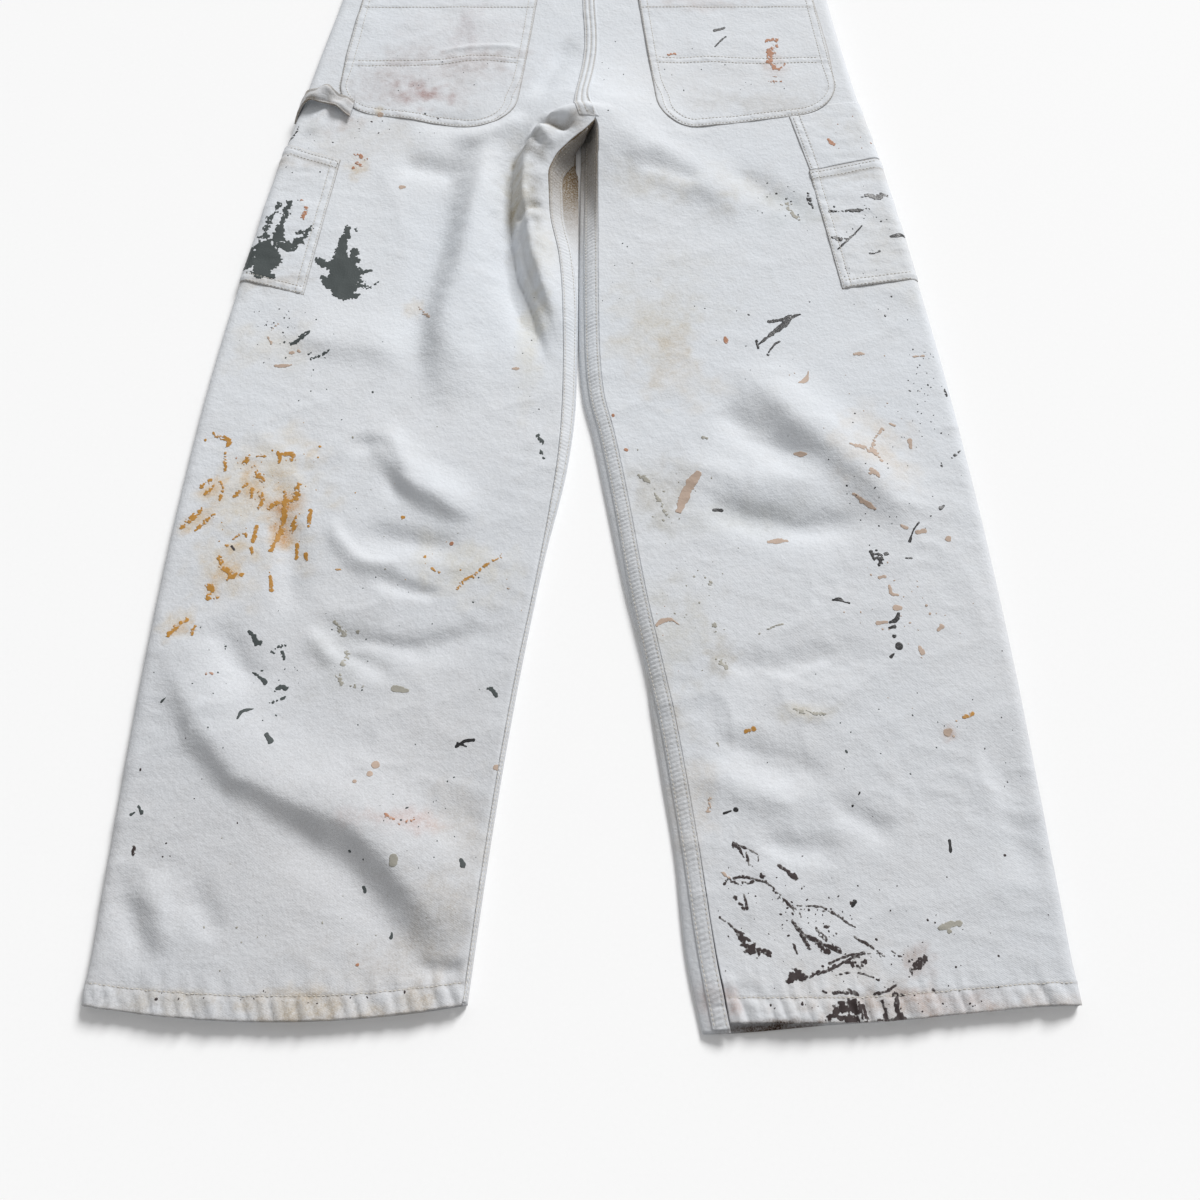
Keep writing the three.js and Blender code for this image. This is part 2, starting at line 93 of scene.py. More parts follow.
LEGS = {
    "left": {
        "side": -1,
        "outer": [(0, -352), (280, -343), (500, -325), (700, -294), (870, -261), (960, -243), (WAIST, -226)],
        "inner": [(0, -82), (120, -69), (235, -53), (345, -34), (430, -16), (500, -9), (735, -8.6), (743, -11),
            (790, -11)],
        "seam": [(0, -85), (120, -72), (235, -56), (345, -37), (430, -24), (500, -20), (585, -21),
                 (640, -25), (680, -33), (712, -35), (730, -35), (740, -31), (SEAM_TOP, -28)],
        "arch": [(SEAM_TOP, -28.6), (758, -14), (768, -1), (775, 5.5), (CROTCH, 7.5), (792, 4), (812, 0), (WAIST, 0)],
    },
    "right": {
        "side": 1,
        "outer": [(0, 350), (290, 333), (520, 309), (720, 278), (840, 255), (960, 237), (WAIST, 226)],
        "inner": [(0, 84), (47, 74), (110, 68), (165, 60), (215, 53), (255, 48), (320, 33), (400, 18),
                  (460, 7), (500, -2), (560, -6), (790, -5)],
        "seam": [(0, 103), (47, 94), (110, 85), (165, 77), (215, 69), (255, 61), (320, 48), (400, 35),
                 (460, 24), (500, 15), (560, 11), (SEAM_TOP, 10)],
        "arch": [(SEAM_TOP, 10.5), (768, 10.4), (775, 9.2), (CROTCH, 7.5), (792, 4), (812, 0), (WAIST, 0)],
    },
}
FRONT_SEAM = [(FRONT_CROTCH, -8), (1000, -3), (WAIST, 0)]

LOFT = [(0, 9.6), (60, 9.6), (300, 9.8), (550, 10.5), (700, 13), (860, 13), (1000, 10), (WAIST, 8.4)]
LOWEST = 3.4
OUTER_ROLL = 9.0
INNER_ROLL = 6.0
EDGE_HEIGHT = 2.2
CROTCH_DOME = (0, 785, 62, 58, 19)

# The camera stands at EYE and looks this many degrees below level; its lens and sensor are in millimetres.
EYE = np.array([12.0, -48.5, 900.0])
CAMERA_TILT = 68.1
LENS = 36.27
SENSOR = 36
# The marks are laid out on a plane this far up, as they look from the eye point.
READ_LEVEL = 9.0
# Where the key light stands, and what it is aimed at.
KEY_LIGHT = (1020, 2100, 1400)
KEY_AIM = (20, 450, 0)

# Colour of the dirt held in seams and of the painted shade in stitch trenches, pucker troughs and the crotch hollow;
# and of clean cloth as the washes' colours take it.
GRIME_AND_SHADE = "#94826a"
CLEAN_CLOTH = "#e9e9ea"


# ---- Settings ----
def linear(code):
    """Hex sRGB to linear: v / 12.92 up to 0.04045, ((v + 0.055) / 1.055)^2.4 above."""
    v = np.array([int(code[k:k + 2], 16) for k in (1, 3, 5)]) / 255
    return np.where(v <= 0.04045, v / 12.92, ((v + 0.055) / 1.055) ** 2.4)


def colour_setting(name, description, code):
    return bpy.props.FloatVectorProperty(
        name=name, description=description, default=tuple(linear(code)), subtype="COLOR", min=0.0, max=1.0)


def length_setting(name, description, millimetres, most):
    return bpy.props.FloatProperty(
        name=name, description=description, default=millimetres * MM, unit="LENGTH", precision=5,
        min=0.0, max=most * MM)


class OverallsCloth(bpy.types.PropertyGroup):
    """Colour, wrinkles and soil of the cotton drill"""

    colour: colour_setting("Cloth colour", "Colour of the drill where it is clean", "#dbdee2")
    wrinkle: length_setting("Wrinkle height", "Height of the largest of the small wrinkles", 1.5, 4.0)
    hem_twist: length_setting("Hem twist", "Height of the ridges across the shrunken hems", 1.7, 3.0)
    # Soil also sets how strong the washes of painted shade are.
    soil: bpy.props.FloatProperty(
        name="Soil", description="Strength of the soaked-in stains", default=1.0, subtype="FACTOR", min=0.0, max=1.5)


class OverallsThread(bpy.types.PropertyGroup):
    """Sizes and colours of the stitching"""

    clean: colour_setting("Clean thread", "Colour of the thread where it is clean", "#dedbd4")
    soiled: colour_setting("Soiled thread", "Colour of the thread where dirt has caught in it", "#c0b8aa")
    pitch: length_setting("Stitch pitch", "Distance from one stitch to the next", 3.3, 6.0)
    stitch: length_setting("Stitch length", "Length of thread that shows in one stitch", 2.5, 5.0)
    thickness: length_setting("Thread thickness", "Diameter of the thread", 0.54, 1.0)


class OverallsPaint(bpy.types.PropertyGroup):
    """Colours of the dried paints and the height of the drops"""

    slate_emulsion: colour_setting("Slate emulsion", "Matt blue-grey wall paint", "#3f4646")
    black_enamel: colour_setting("Black enamel", "Glossy black metal paint", "#1f1e20")
    brown_black_stain: colour_setting("Brown-black stain", "Dark wood stain", "#302424")
    rust_primer: colour_setting("Rust primer", "Red-brown undercoat", "#a9775a")
    tan_emulsion: colour_setting("Tan emulsion", "Pale brown wall paint", "#b29d8d")
    ochre_scumble: colour_setting("Ochre scumble", "Yellow-brown glaze, brushed on dry", "#b28034")
    grey_undercoat: colour_setting("Grey undercoat", "Warm grey undercoat", "#9a978d")
    drop: length_setting("Drop height", "Height of a dried drop over the cloth", 0.35, 1.0)


class OverallsStage(bpy.types.PropertyGroup):
    """Light and floor"""

    sun: bpy.props.FloatProperty(
        name="Key light", description="Strength of the soft key light", default=3.1, min=0.0, max=10.0)
    room: bpy.props.FloatProperty(
        name="Room light", description="Strength of the even light from all round", default=0.42, min=0.0, max=3.0)
    softness: bpy.props.FloatProperty(
        name="Key softness", description="Angle that the key light fills", default=math.radians(22),
        subtype="ANGLE", min=0.0, max=math.radians(90))


SETTINGS = {"overalls_cloth": OverallsCloth, "overalls_thread": OverallsThread,
            "overalls_paint": OverallsPaint, "overalls_stage": OverallsStage}


# Folds as the cloth lies: crest or trough line, height, and how far it reaches to the left
# and to the right of the way that its line runs.
FOLDS = [
    # left thigh
    ([(-112, 470), (-122, 541), (-110, 613), (-103, 656), (-96, 700), (-92, 745), (-86, 800)], 14, 17, 27),
    ([(-140, 500), (-146, 570), (-134, 640), (-126, 690), (-120, 745)], -3.5, 20, 12),
    ([(-32, 520), (-46, 570), (-60, 613), (-69, 660), (-71, 705), (-67, 745), (-52, 790)], -13, 17, 4.5),
    ([(-20, 540), (-32, 585), (-45, 632), (-55, 690), (-55, 738), (-44, 770), (-20, 788), (12, 792), (40, 780)], 12,
        5, 13),
    ([(-58, 764), (-49, 757), (-40, 750)], -4, 4, 4),
    ([(-48, 770), (-38, 760), (-26, 752)], 3.5, 4, 4),
    ([(-50, 779), (-32, 775), (-10, 771)], -9, 5, 6),
    ([(-64, 674), (-51, 685), (-38, 692)], -5, 5, 3),
    ([(-62, 662), (-50, 672), (-38, 680)], 2.5, 5, 3),
    ([(-58, 800), (-80, 778), (-130, 765)], 5, 12, 12),
    ([(-180, 750), (-145, 738), (-108, 730)], -5, 12, 14),
    ([(-270, 560), (-203, 548), (-140, 530)], 4, 34, 14),
    ([(-187, 470), (-154, 422), (-119, 395), (-75, 383)], 9, 20, 9),
    ([(-203, 440), (-178, 449), (-161, 428), (-152, 392)], -5, 8, 10),
    ([(-190, 370), (-142, 360), (-95, 356)], -5, 10, 12),
    ([(-212, 385), (-189, 349), (-165, 340), (-140, 341)], 4, 6, 8),
    ([(-172, 336), (-148, 320), (-112, 312)], -3.5, 7, 7),
    ([(-255, 396), (-237, 345), (-233, 290)], -4, 12, 10),
    # left shin
    ([(-222, 292), (-137, 270), (-58, 292)], -5, 9, 14),
    ([(-205, 276), (-170, 258), (-144, 240)], -3, 7, 7),
    ([(-222, 284), (-204, 268), (-190, 254)], 3, 7, 7),
    ([(-294, 292), (-272, 262), (-250, 232)], -5, 12, 12),
    ([(-335, 292), (-312, 245), (-286, 200), (-256, 168), (-212, 148), (-172, 130), (-142, 106), (-118, 78),
        (-92, 50), (-72, 22)], 11, 38, 13),
    ([(-240, 140), (-190, 112), (-160, 86), (-138, 56), (-112, 30), (-96, 12)], -5, 14, 20),
    ([(-139, 150), (-105, 138), (-68, 128)], -3, 12, 12),
    ([(-340, 95), (-322, 58), (-307, 26)], -4, 10, 10),
    ([(-316, 100), (-305, 70), (-297, 36)], 3.5, 11, 11),
    ([(-287, 90), (-272, 70), (-260, 48)], -3, 9, 9),
    ([(-125, 31), (-100, 26), (-80, 24)], -3.5, 6, 6),
    # right thigh
    ([(44, 745), (75, 733), (108, 718)], -5, 12, 10),
    ([(20, 785), (58, 750), (95, 722), (157, 685)], 6, 26, 16),
    ([(123, 742), (160, 716), (205, 682)], -3, 12, 14),
    ([(128, 535), (173, 479), (220, 431), (262, 385), (285, 362)], 9, 26, 15),
    ([(110, 498), (138, 462), (192, 428)], -5, 12, 14),
    ([(60, 432), (136, 416), (217, 411)], 4, 16, 20),
    ([(88, 396), (167, 375), (242, 382)], -7, 12, 14),
    # right shin
    ([(100, 247), (187, 259), (242, 269)], -4, 12, 12),
    ([(90, 197), (125, 184), (163, 172), (195, 177)], -4.5, 12, 14),
    ([(80, 172), (120, 156), (165, 148)], 3, 12, 14),
    ([(180, 148), (212, 131), (228, 114)], -3.5, 10, 10),
    ([(125, 118), (160, 112), (195, 112)], -3.5, 9, 9),
    ([(303, 215), (318, 149), (328, 70)], -3, 16, 14),
    # seat
    ([(-56, 808), (-33, 849), (-12, 905)], -4, 9, 12),
    ([(-262, 772), (-250, 792), (-240, 814)], 3, 6, 6),
    ([(-165, 800), (-130, 790), (-90, 792)], -2.5, 12, 10),
]


# Where the panels that are sewn on lie.
SEAT_POCKET = {"top": 955, "bottom": 790, "in_top": 49, "in_bottom": 69, "out_top": 222, "out_bottom": 238,
               "round": 36, "tilt": 0.16, "level_at": 140}
# Leg, top inner corner, bottom inner corner, lower edge at X 320, upper edge at X 290.
LEG_POCKETS = {
    "tool_pocket": ("left", (-228, 746), (-249, 598), 617.5, 768),
    "rule_pocket_upper": ("right", (190, 808), (205.5, 734), 761, 820),
    "rule_pocket_lower": ("right", (204.5, 733.4), (226, 604), 620, 753),
}
CENTRE_LINE = [(779, -7), (786, -10), (795, -12), (812, -11), (835, -8), (858, -5), (882, -3), (905, -3), (945, -5),
    (WAIST, -4)]
BACK_BIB_HALF = [(WAIST, 222), (1110, 200), (1165, 148), (1220, 96), (1270, 68), (BACK_BIB_TOP, 62)]
BACK_BIB_HEIGHT = 8.7
FRONT_BIB_HALF = [(WAIST, 206), (1100, 185), (1140, 160), (1190, 142), (1260, 134), (FRONT_BIB_TOP, 130)]
FRONT_BIB_LIFT = 5.1
BUCKLE_X = 108.0
LOOP_PATH = [(-221, 803, 18.0), (-233, 812, 19.0), (-245, 818, 20.5), (-256, 820, 21.5), (-265, 816, 18.5),
             (-271, 810, 13), (-273.5, 804, 7)]
LOOP_TURNS = [78, 84, 90, 84, 78, 74, 72]
LOOP_WIDTH = 18.0
LOOP_CLOTH = 1.8


def to_frame(points):
    """Turns cutting-frame millimetres into frame metres: a shift to the centre seam and the hems."""
    points = np.asarray(points, float)
    return points * MM + np.array([CENTRE_X, HEM_Y, 0.0])


def smoothstep(value, start, end):
    """3t^2 - 2t^3 of the value's place between start and end, held at 0 and 1 outside them."""
    t = np.clip((value - start) / (end - start), 0, 1)
    return t * t * (3 - 2 * t)


def follow(table, at):
    """Cubic curve through (position, value) pairs, with the slope between each pair's neighbours."""
    place, value = np.array(table, float).T
    if place[0] > place[-1]:
        place, value = place[::-1], value[::-1]
    slope = np.empty_like(value)
    slope[1:-1] = (value[2:] - value[:-2]) / (place[2:] - place[:-2])
    slope[0] = (value[1] - value[0]) / (place[1] - place[0])
    slope[-1] = (value[-1] - value[-2]) / (place[-1] - place[-2])
    at = np.clip(at, place[0], place[-1])
    k = np.clip(np.searchsorted(place, at, side="right") - 1, 0, len(place) - 2)
    width = place[k + 1] - place[k]
    t = (at - place[k]) / width
    ease = t * t * (3 - 2 * t)
    bend = width * t * (1 - t) * ((1 - t) * slope[k] - t * slope[k + 1])
    return value[k] * (1 - ease) + value[k + 1] * ease + bend


def roll(distance, radius):
    """Quarter-round profile of a folded edge: sqrt(1 - q^2), q falling from 1 on the fold to 0 past it."""
    q = np.clip(1 - distance / radius, 0, 1)
    return np.sqrt(1 - q * q)


def bell(distance, width):
    """exp(-(distance / width)^2)."""
    return np.exp(-(distance / width) ** 2)


def noise(x, y, size, seed):
    """Smooth noise from -1 to 1: random values on a lattice of the given size, eased between them."""
    values = np.random.default_rng(seed).uniform(-1, 1, (512, 512))
    u, v = np.asarray(x) / size + 211.3, np.asarray(y) / size + 97.7
    i, j = np.floor(u).astype(int), np.floor(v).astype(int)
    s, t = u - i, v - j
    s, t = s * s * (3 - 2 * s), t * t * (3 - 2 * t)
    i, j = i % 511, j % 511
    low = values[i, j] * (1 - s) + values[i + 1, j] * s
    high = values[i, j + 1] * (1 - s) + values[i + 1, j + 1] * s
    return low * (1 - t) + high * t


def smooth_line(points, count):
    """The points joined by cubic curves over their running length, at evenly spaced places."""
    points = np.asarray(points, float)
    run = np.concatenate([[0], np.cumsum(np.linalg.norm(np.diff(points, axis=0), axis=1))])
    at = np.linspace(0, run[-1], count)
    return np.stack([follow(np.stack([run, points[:, k]], 1), at) for k in range(points.shape[1])], 1)


def off_line(x, y, line):
    """Signed distance from a line, positive on its right, and the share of the line passed."""
    if len(line) == 1:
        return np.hypot(x - line[0, 0], y - line[0, 1]), np.zeros(len(x))
    a, b = line[:-1], line[1:]
    run = b - a
    dx, dy = x[:, None] - a[:, 0], y[:, None] - a[:, 1]
    t = np.clip((dx * run[:, 0] + dy * run[:, 1]) / (run ** 2).sum(1), 0, 1)
    ex, ey = dx - t * run[:, 0], dy - t * run[:, 1]
    away = np.hypot(ex, ey)
    k = away.argmin(1)
    pick = np.arange(len(x))
    turn = run[k, 1] * dx[pick, k] - run[k, 0] * dy[pick, k]
    return away[pick, k] * np.where(turn < 0, -1, 1), (k + t[pick, k]) / len(a)


def folds(x, y):
    """Sum of the folds: each a bell across its line, wider on one side, easing out at both ends."""
    shape = np.shape(x)
    x, y = np.ravel(x).astype(float), np.ravel(y).astype(float)
    total = np.zeros(len(x))
    for points, height, left, right in FOLDS:
        line = smooth_line(points, 14)
        reach = 2.6 * max(left, right)
        low, high = line.min(0) - reach, line.max(0) + reach
        near = np.flatnonzero((x > low[0]) & (x < high[0]) & (y > low[1]) & (y < high[1]))
        if not len(near):
            continue
        away, share = off_line(x[near], y[near], line)
        away = away + 1.6 * noise(x[near], y[near], 23, 11) + 0.7 * noise(x[near], y[near], 9, 12)
        width = np.where(away > 0, right, left)
        ends = smoothstep(share, 0, 0.3) * smoothstep(1 - share, 0, 0.3)
        total[near] += height * ends * bell(away, width)
    return total.reshape(shape)


def crumple(x, y):
    """Small wrinkles: ridged noise, stretched across the leg, in three sizes, flatter on the seat."""
    calm = 0.55 + 0.45 * smoothstep(560 - y, 0, 160)
    patch = 0.75 + 0.5 * noise(x, y, 70, 13)
    total = 0
    for size, height, stretch, turn, seed in (
        (34, 1.5, 1.7, 0.35, 14),
        (17, 0.75, 1.5, -0.3, 15),
        (8.5, 0.36, 1.3, 0.2, 16),
    ):
        warp = 0.35 * size * noise(x, y, size * 1.9, seed + 40)
        ridge = 1 - np.abs(noise((x + turn * y) / stretch + warp, y - turn * x + warp, size, seed))
        total = total + height * (ridge * ridge - 0.45)
    return calm * patch * total * bpy.context.scene.overalls_cloth.wrinkle / (1.5 * MM)


def hem_ropes(x, y):
    """Uneven ridges that a shrunken hem twists into, leaning a little, fading at its stitch row."""
    lean = x + 0.35 * y + 3.4 * noise(x, y * 0, 23, 21)
    wave = noise(lean, y * 0, 4.6, 26) + 0.35 * np.sin(2 * np.pi * lean / 9.7)
    return bpy.context.scene.overalls_cloth.hem_twist / MM * wave * smoothstep(HEM_DEPTH - y, 0.5, 6)


def open_height(x, y):
    """Middle of the upper layer before its edges turn down: loft, crotch dome, folds, wrinkles and hem puckers."""
    cx, cy, rx, ry, dome = CROTCH_DOME
    rise = dome * np.exp(-((x - cx) / rx) ** 2 - ((y - cy) / ry) ** 2)
    gather = 1.1 * noise(x + 0.2 * y, y * 0, 4.4, 8) * bell(y - HEM_DEPTH - 2.5, 8)
    gather -= 0.7 * bell(y - HEM_DEPTH + HEM_ROW, 1.7)
    return np.maximum(LOWEST, follow(LOFT, y) + rise + folds(x, y) + crumple(x, y) + gather)


def edge_height(y):
    """Level of the turned-down edge: on the front panel, or on its thicker hem."""
    hem = HEM_CLOTH + SEAM_GAP + HEM_CLOTH / 2
    return hem + (EDGE_HEIGHT - hem) * smoothstep(y, HEM_DEPTH, HEM_DEPTH + 14)


def upper_height(leg, x, y):
    """Open height, rounded down to the edge at the side seam and at the inside leg."""
    low = edge_height(y)
    outer = roll(leg["side"] * (follow(leg["outer"], y) - x), OUTER_ROLL)
    inner = np.where(y < SEAM_TOP, roll(leg["side"] * (x - follow(leg["inner"], y)), INNER_ROLL), 1)
    return low + (np.maximum(open_height(x, y), low) - low) * outer * inner


def hem_shift(leg, x, y, is_front=False):
    """The hems bow: a shift along Y that fades out up the leg."""
    fade = np.clip(1 - y / HEM_BOW, 0, 1)
    if leg["side"] < 0:
        return fade * (11 * ((x + 217) / 134) ** 2 - 7)
    back = 12 * smoothstep(x, 175, 350) - 8
    forward = 7 * (1 - smoothstep(x, 84, 200)) if is_front else 0
    return fade * (back - forward)


SURFACES = []


def remember(x, levels, level_of, face, out):
    """Keeps a laid panel's outer face, for what lies on it: X rises along its rows, and levels up its columns."""
    SURFACES.append((x, levels, level_of, face, out))


def sample(surface, x, y):
    """Points and normals on a panel's face, from its row levels and then its row's own X; and which are on it."""
    grid, levels, level_of, face, out = surface
    v = level_of(x, y)
    r = np.clip(np.searchsorted(levels, v) - 1, 0, len(levels) - 2)
    t = np.clip((v - levels[r]) / (levels[r + 1] - levels[r]), 0, 1)[:, None]
    row = grid[r] * (1 - t) + grid[r + 1] * t
    pick = np.arange(len(x))
    c = np.clip((row < x[:, None]).sum(1) - 1, 0, grid.shape[1] - 2)
    u = np.clip((x - row[pick, c]) / (row[pick, c + 1] - row[pick, c]), 0, 1)[:, None]
    on = (v >= levels[0]) & (v <= levels[-1]) & (x >= row[:, 0]) & (x <= row[:, -1])
    parts = []
    for values in (face, out):
        low = values[r, c] * (1 - u) + values[r, c + 1] * u
        high = values[r + 1, c] * (1 - u) + values[r + 1, c + 1] * u
        parts.append(low * (1 - t) + high * t)
    return parts[0], parts[1] / np.linalg.norm(parts[1], axis=1, keepdims=True), on


def cloth_face(x, y, panels=None):
    """Points and normals on the topmost of the remembered panels: the backs, then what is sewn on them."""
    x, y = np.broadcast_arrays(np.asarray(x, float), np.asarray(y, float))
    shape, x, y = x.shape, x.ravel(), y.ravel()
    face, out = np.zeros((len(x), 3)), np.zeros((len(x), 3))
    for start in range(0, len(x), 30000):
        part = slice(start, start + 30000)
        u, v = x[part], y[part]
        for k, surface in enumerate(SURFACES[:panels]):
            points, normals, on = sample(surface, u, v)
            if k < 2:
                on = (u < 0) == (k == 0)
            face[part][on], out[part][on] = points[on], normals[on]
    return face.reshape(*shape, 3), out.reshape(*shape, 3)


def on_cloth(x, y, lift=0.0):
    """Points above the visible face of the cloth, by lift."""
    face, out = cloth_face(x, y)
    return face + out * lift


def turn_foot(level):
    """Level of the foot of the front's turn: the seam's own, and past the inseam on up to the centre seam."""
    return level + np.clip(level - SEAM_TOP, 0, None) * (FOOT_TOP - CROTCH) / (CROTCH - SEAM_TOP)


def seam_line(leg, level):
    """X of the inseam, and above it of the arch over the crotch."""
    return np.where(level < SEAM_TOP, follow(leg["seam"], level), follow(leg["arch"], level))


def fell_reach(leg, level):
    """Distance from the front's inner edge to the seam, and how wide the felled band beside the seam is."""
    reach = np.abs(seam_line(leg, level) - follow(leg["inner"], turn_foot(level)))
    return reach, np.minimum(FELL_WIDTH, np.maximum(reach - 1.0, 1.5))


def turn_up(leg, level, share):
    """Front panel's turn from the surface up to the inseam: a quarter ellipse from the inner edge to the seam.

    Above the inseam the seam follows the arch of the crotch while the foot of the turn runs on to the centre seam.
    """
    level, share = np.broadcast_arrays(np.asarray(level, float), np.asarray(share, float))
    foot_y = turn_foot(level)
    edge = follow(leg["inner"], foot_y)
    seam = seam_line(leg, level)
    reach = seam - edge
    low = HALF + 1.5
    crest = np.where(level < SEAM_TOP, upper_height(leg, seam, level), open_height(seam, level))
    away = np.abs(reach) * share
    radius = np.maximum(np.abs(reach), INNER_ROLL)
    wide = 0.65 * smoothstep(np.abs(reach), 7, 14)
    rise = (1 - wide) * roll(away, radius) + wide * np.clip(away / radius, 0, 1) ** 0.85
    hollow = smoothstep(level, 640, 725)
    rise = rise * (1 - hollow) + hollow * (0.12 * share + 0.88 * share ** 3.2)
    x = edge + reach * share
    y = foot_y + (level - foot_y) * share
    z = low + (crest - low) * rise
    return np.stack([x, y + hem_shift(leg, x, y, True), z], -1)


def grid_normals(points):
    """Unit normals of a grid of points: the cross product of its two directions."""
    along = np.gradient(points, axis=1)
    up = np.gradient(points, axis=0)
    normal = np.cross(along, up)
    return normal / np.maximum(np.linalg.norm(normal, axis=2, keepdims=True), 1e-9)


def new_object(name, points, faces, material, tint=None):
    """One smooth mesh object at the origin, from cutting-frame millimetres, with a tint for each point."""
    mesh = bpy.data.meshes.new(name)
    mesh.from_pydata(to_frame(points), [], faces if isinstance(faces, list) else faces.tolist())
    mesh.polygons.foreach_set("use_smooth", np.full(len(mesh.polygons), True))
    if tint is not None:
        layer = mesh.attributes.new("tint", "FLOAT_COLOR", "POINT")
        layer.data.foreach_set("color", np.concatenate([tint, np.ones((len(tint), 1))], 1).ravel())
    mesh.materials.append(bpy.data.materials[material])
    mesh.update()
    thing = bpy.data.objects.new(name, mesh)
    bpy.context.scene.collection.objects.link(thing)
    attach(thing, "root")
    return thing


def shell_mesh(points, out, under, over, keep=None):
    """Points and quads of a closed wall: two offset copies of a grid, joined round every kept quad's edge.

    The third result says which grid point each wall point comes from.
    """
    rows, cols = points.shape[:2]
    keep = np.ones((rows - 1, cols - 1), bool) if keep is None else keep
    under, over = (np.broadcast_to(np.asarray(v, float), (rows, cols))[..., None] for v in (under, over))
    stack = np.concatenate([(points + out * under).reshape(-1, 3), (points + out * over).reshape(-1, 3)])
    number = np.arange(rows * cols).reshape(rows, cols)
    top = rows * cols
    a, b, c, d = number[:-1, :-1], number[:-1, 1:], number[1:, 1:], number[1:, :-1]
    a, b, c, d = (v[keep] for v in (a, b, c, d))
    quads = [np.stack([a, b, c, d], 1) + top, np.stack([a, d, c, b], 1)]
    held = np.pad(keep, 1)
    down = held[1:-1, 1:-1] & ~held[:-2, 1:-1]
    up = held[1:-1, 1:-1] & ~held[2:, 1:-1]
    left = held[1:-1, 1:-1] & ~held[1:-1, :-2]
    right = held[1:-1, 1:-1] & ~held[1:-1, 2:]
    for at, start, end in (
        (down, number[:-1, :-1], number[:-1, 1:]),
        (up, number[1:, 1:], number[1:, :-1]),
        (left, number[1:, :-1], number[:-1, :-1]),
        (right, number[:-1, 1:], number[1:, 1:]),
    ):
        s, e = start[at], end[at]
        quads.append(np.stack([s, e, e + top, s + top], 1))
    quads = np.concatenate(quads)
    used = np.unique(quads)
    renumber = np.zeros(2 * top, int)
    renumber[used] = np.arange(len(used))
    return stack[used], renumber[quads], used % top


def cloth_wall(name, points, under=-HALF, over=HALF, keep=None, soil=1.0, out=None, grime_and_shade=None):
    """A wall of cloth about a grid of points, tinted with its stains and painted shade, and with the grime of its
    seams and the painted shade of its hollows and trenches.
    """
    out = grid_normals(points) if out is None else out
    stack, quads, source = shell_mesh(points, out, under, over, keep)
    flat = points.reshape(-1, 3)[source]
    tint = stains_and_shade(flat[:, 0], flat[:, 1], soil)
    # Darkens each point towards the seam-dirt colour: dirt, and painted shade where the caller asks for it.
    if grime_and_shade is not None:
        held = np.broadcast_to(grime_and_shade, points.shape[:2]).ravel()[source][:, None]
        tint *= 1 - np.clip(held, 0, 1) * (1 - linear(GRIME_AND_SHADE))
    piece = new_object(name, stack, quads, "cotton_drill", tint=tint)
    return piece


def lay_cloth(name, node, points, under=-HALF, over=HALF, keep=None, soil=1.0, out=None, grime_and_shade=None,
              extras=()):
    """A wall of cloth in place of its solid, which it hides."""
    piece = cloth_wall(name, points, under, over, keep, soil, out, grime_and_shade)
    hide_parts(node)
    return piece
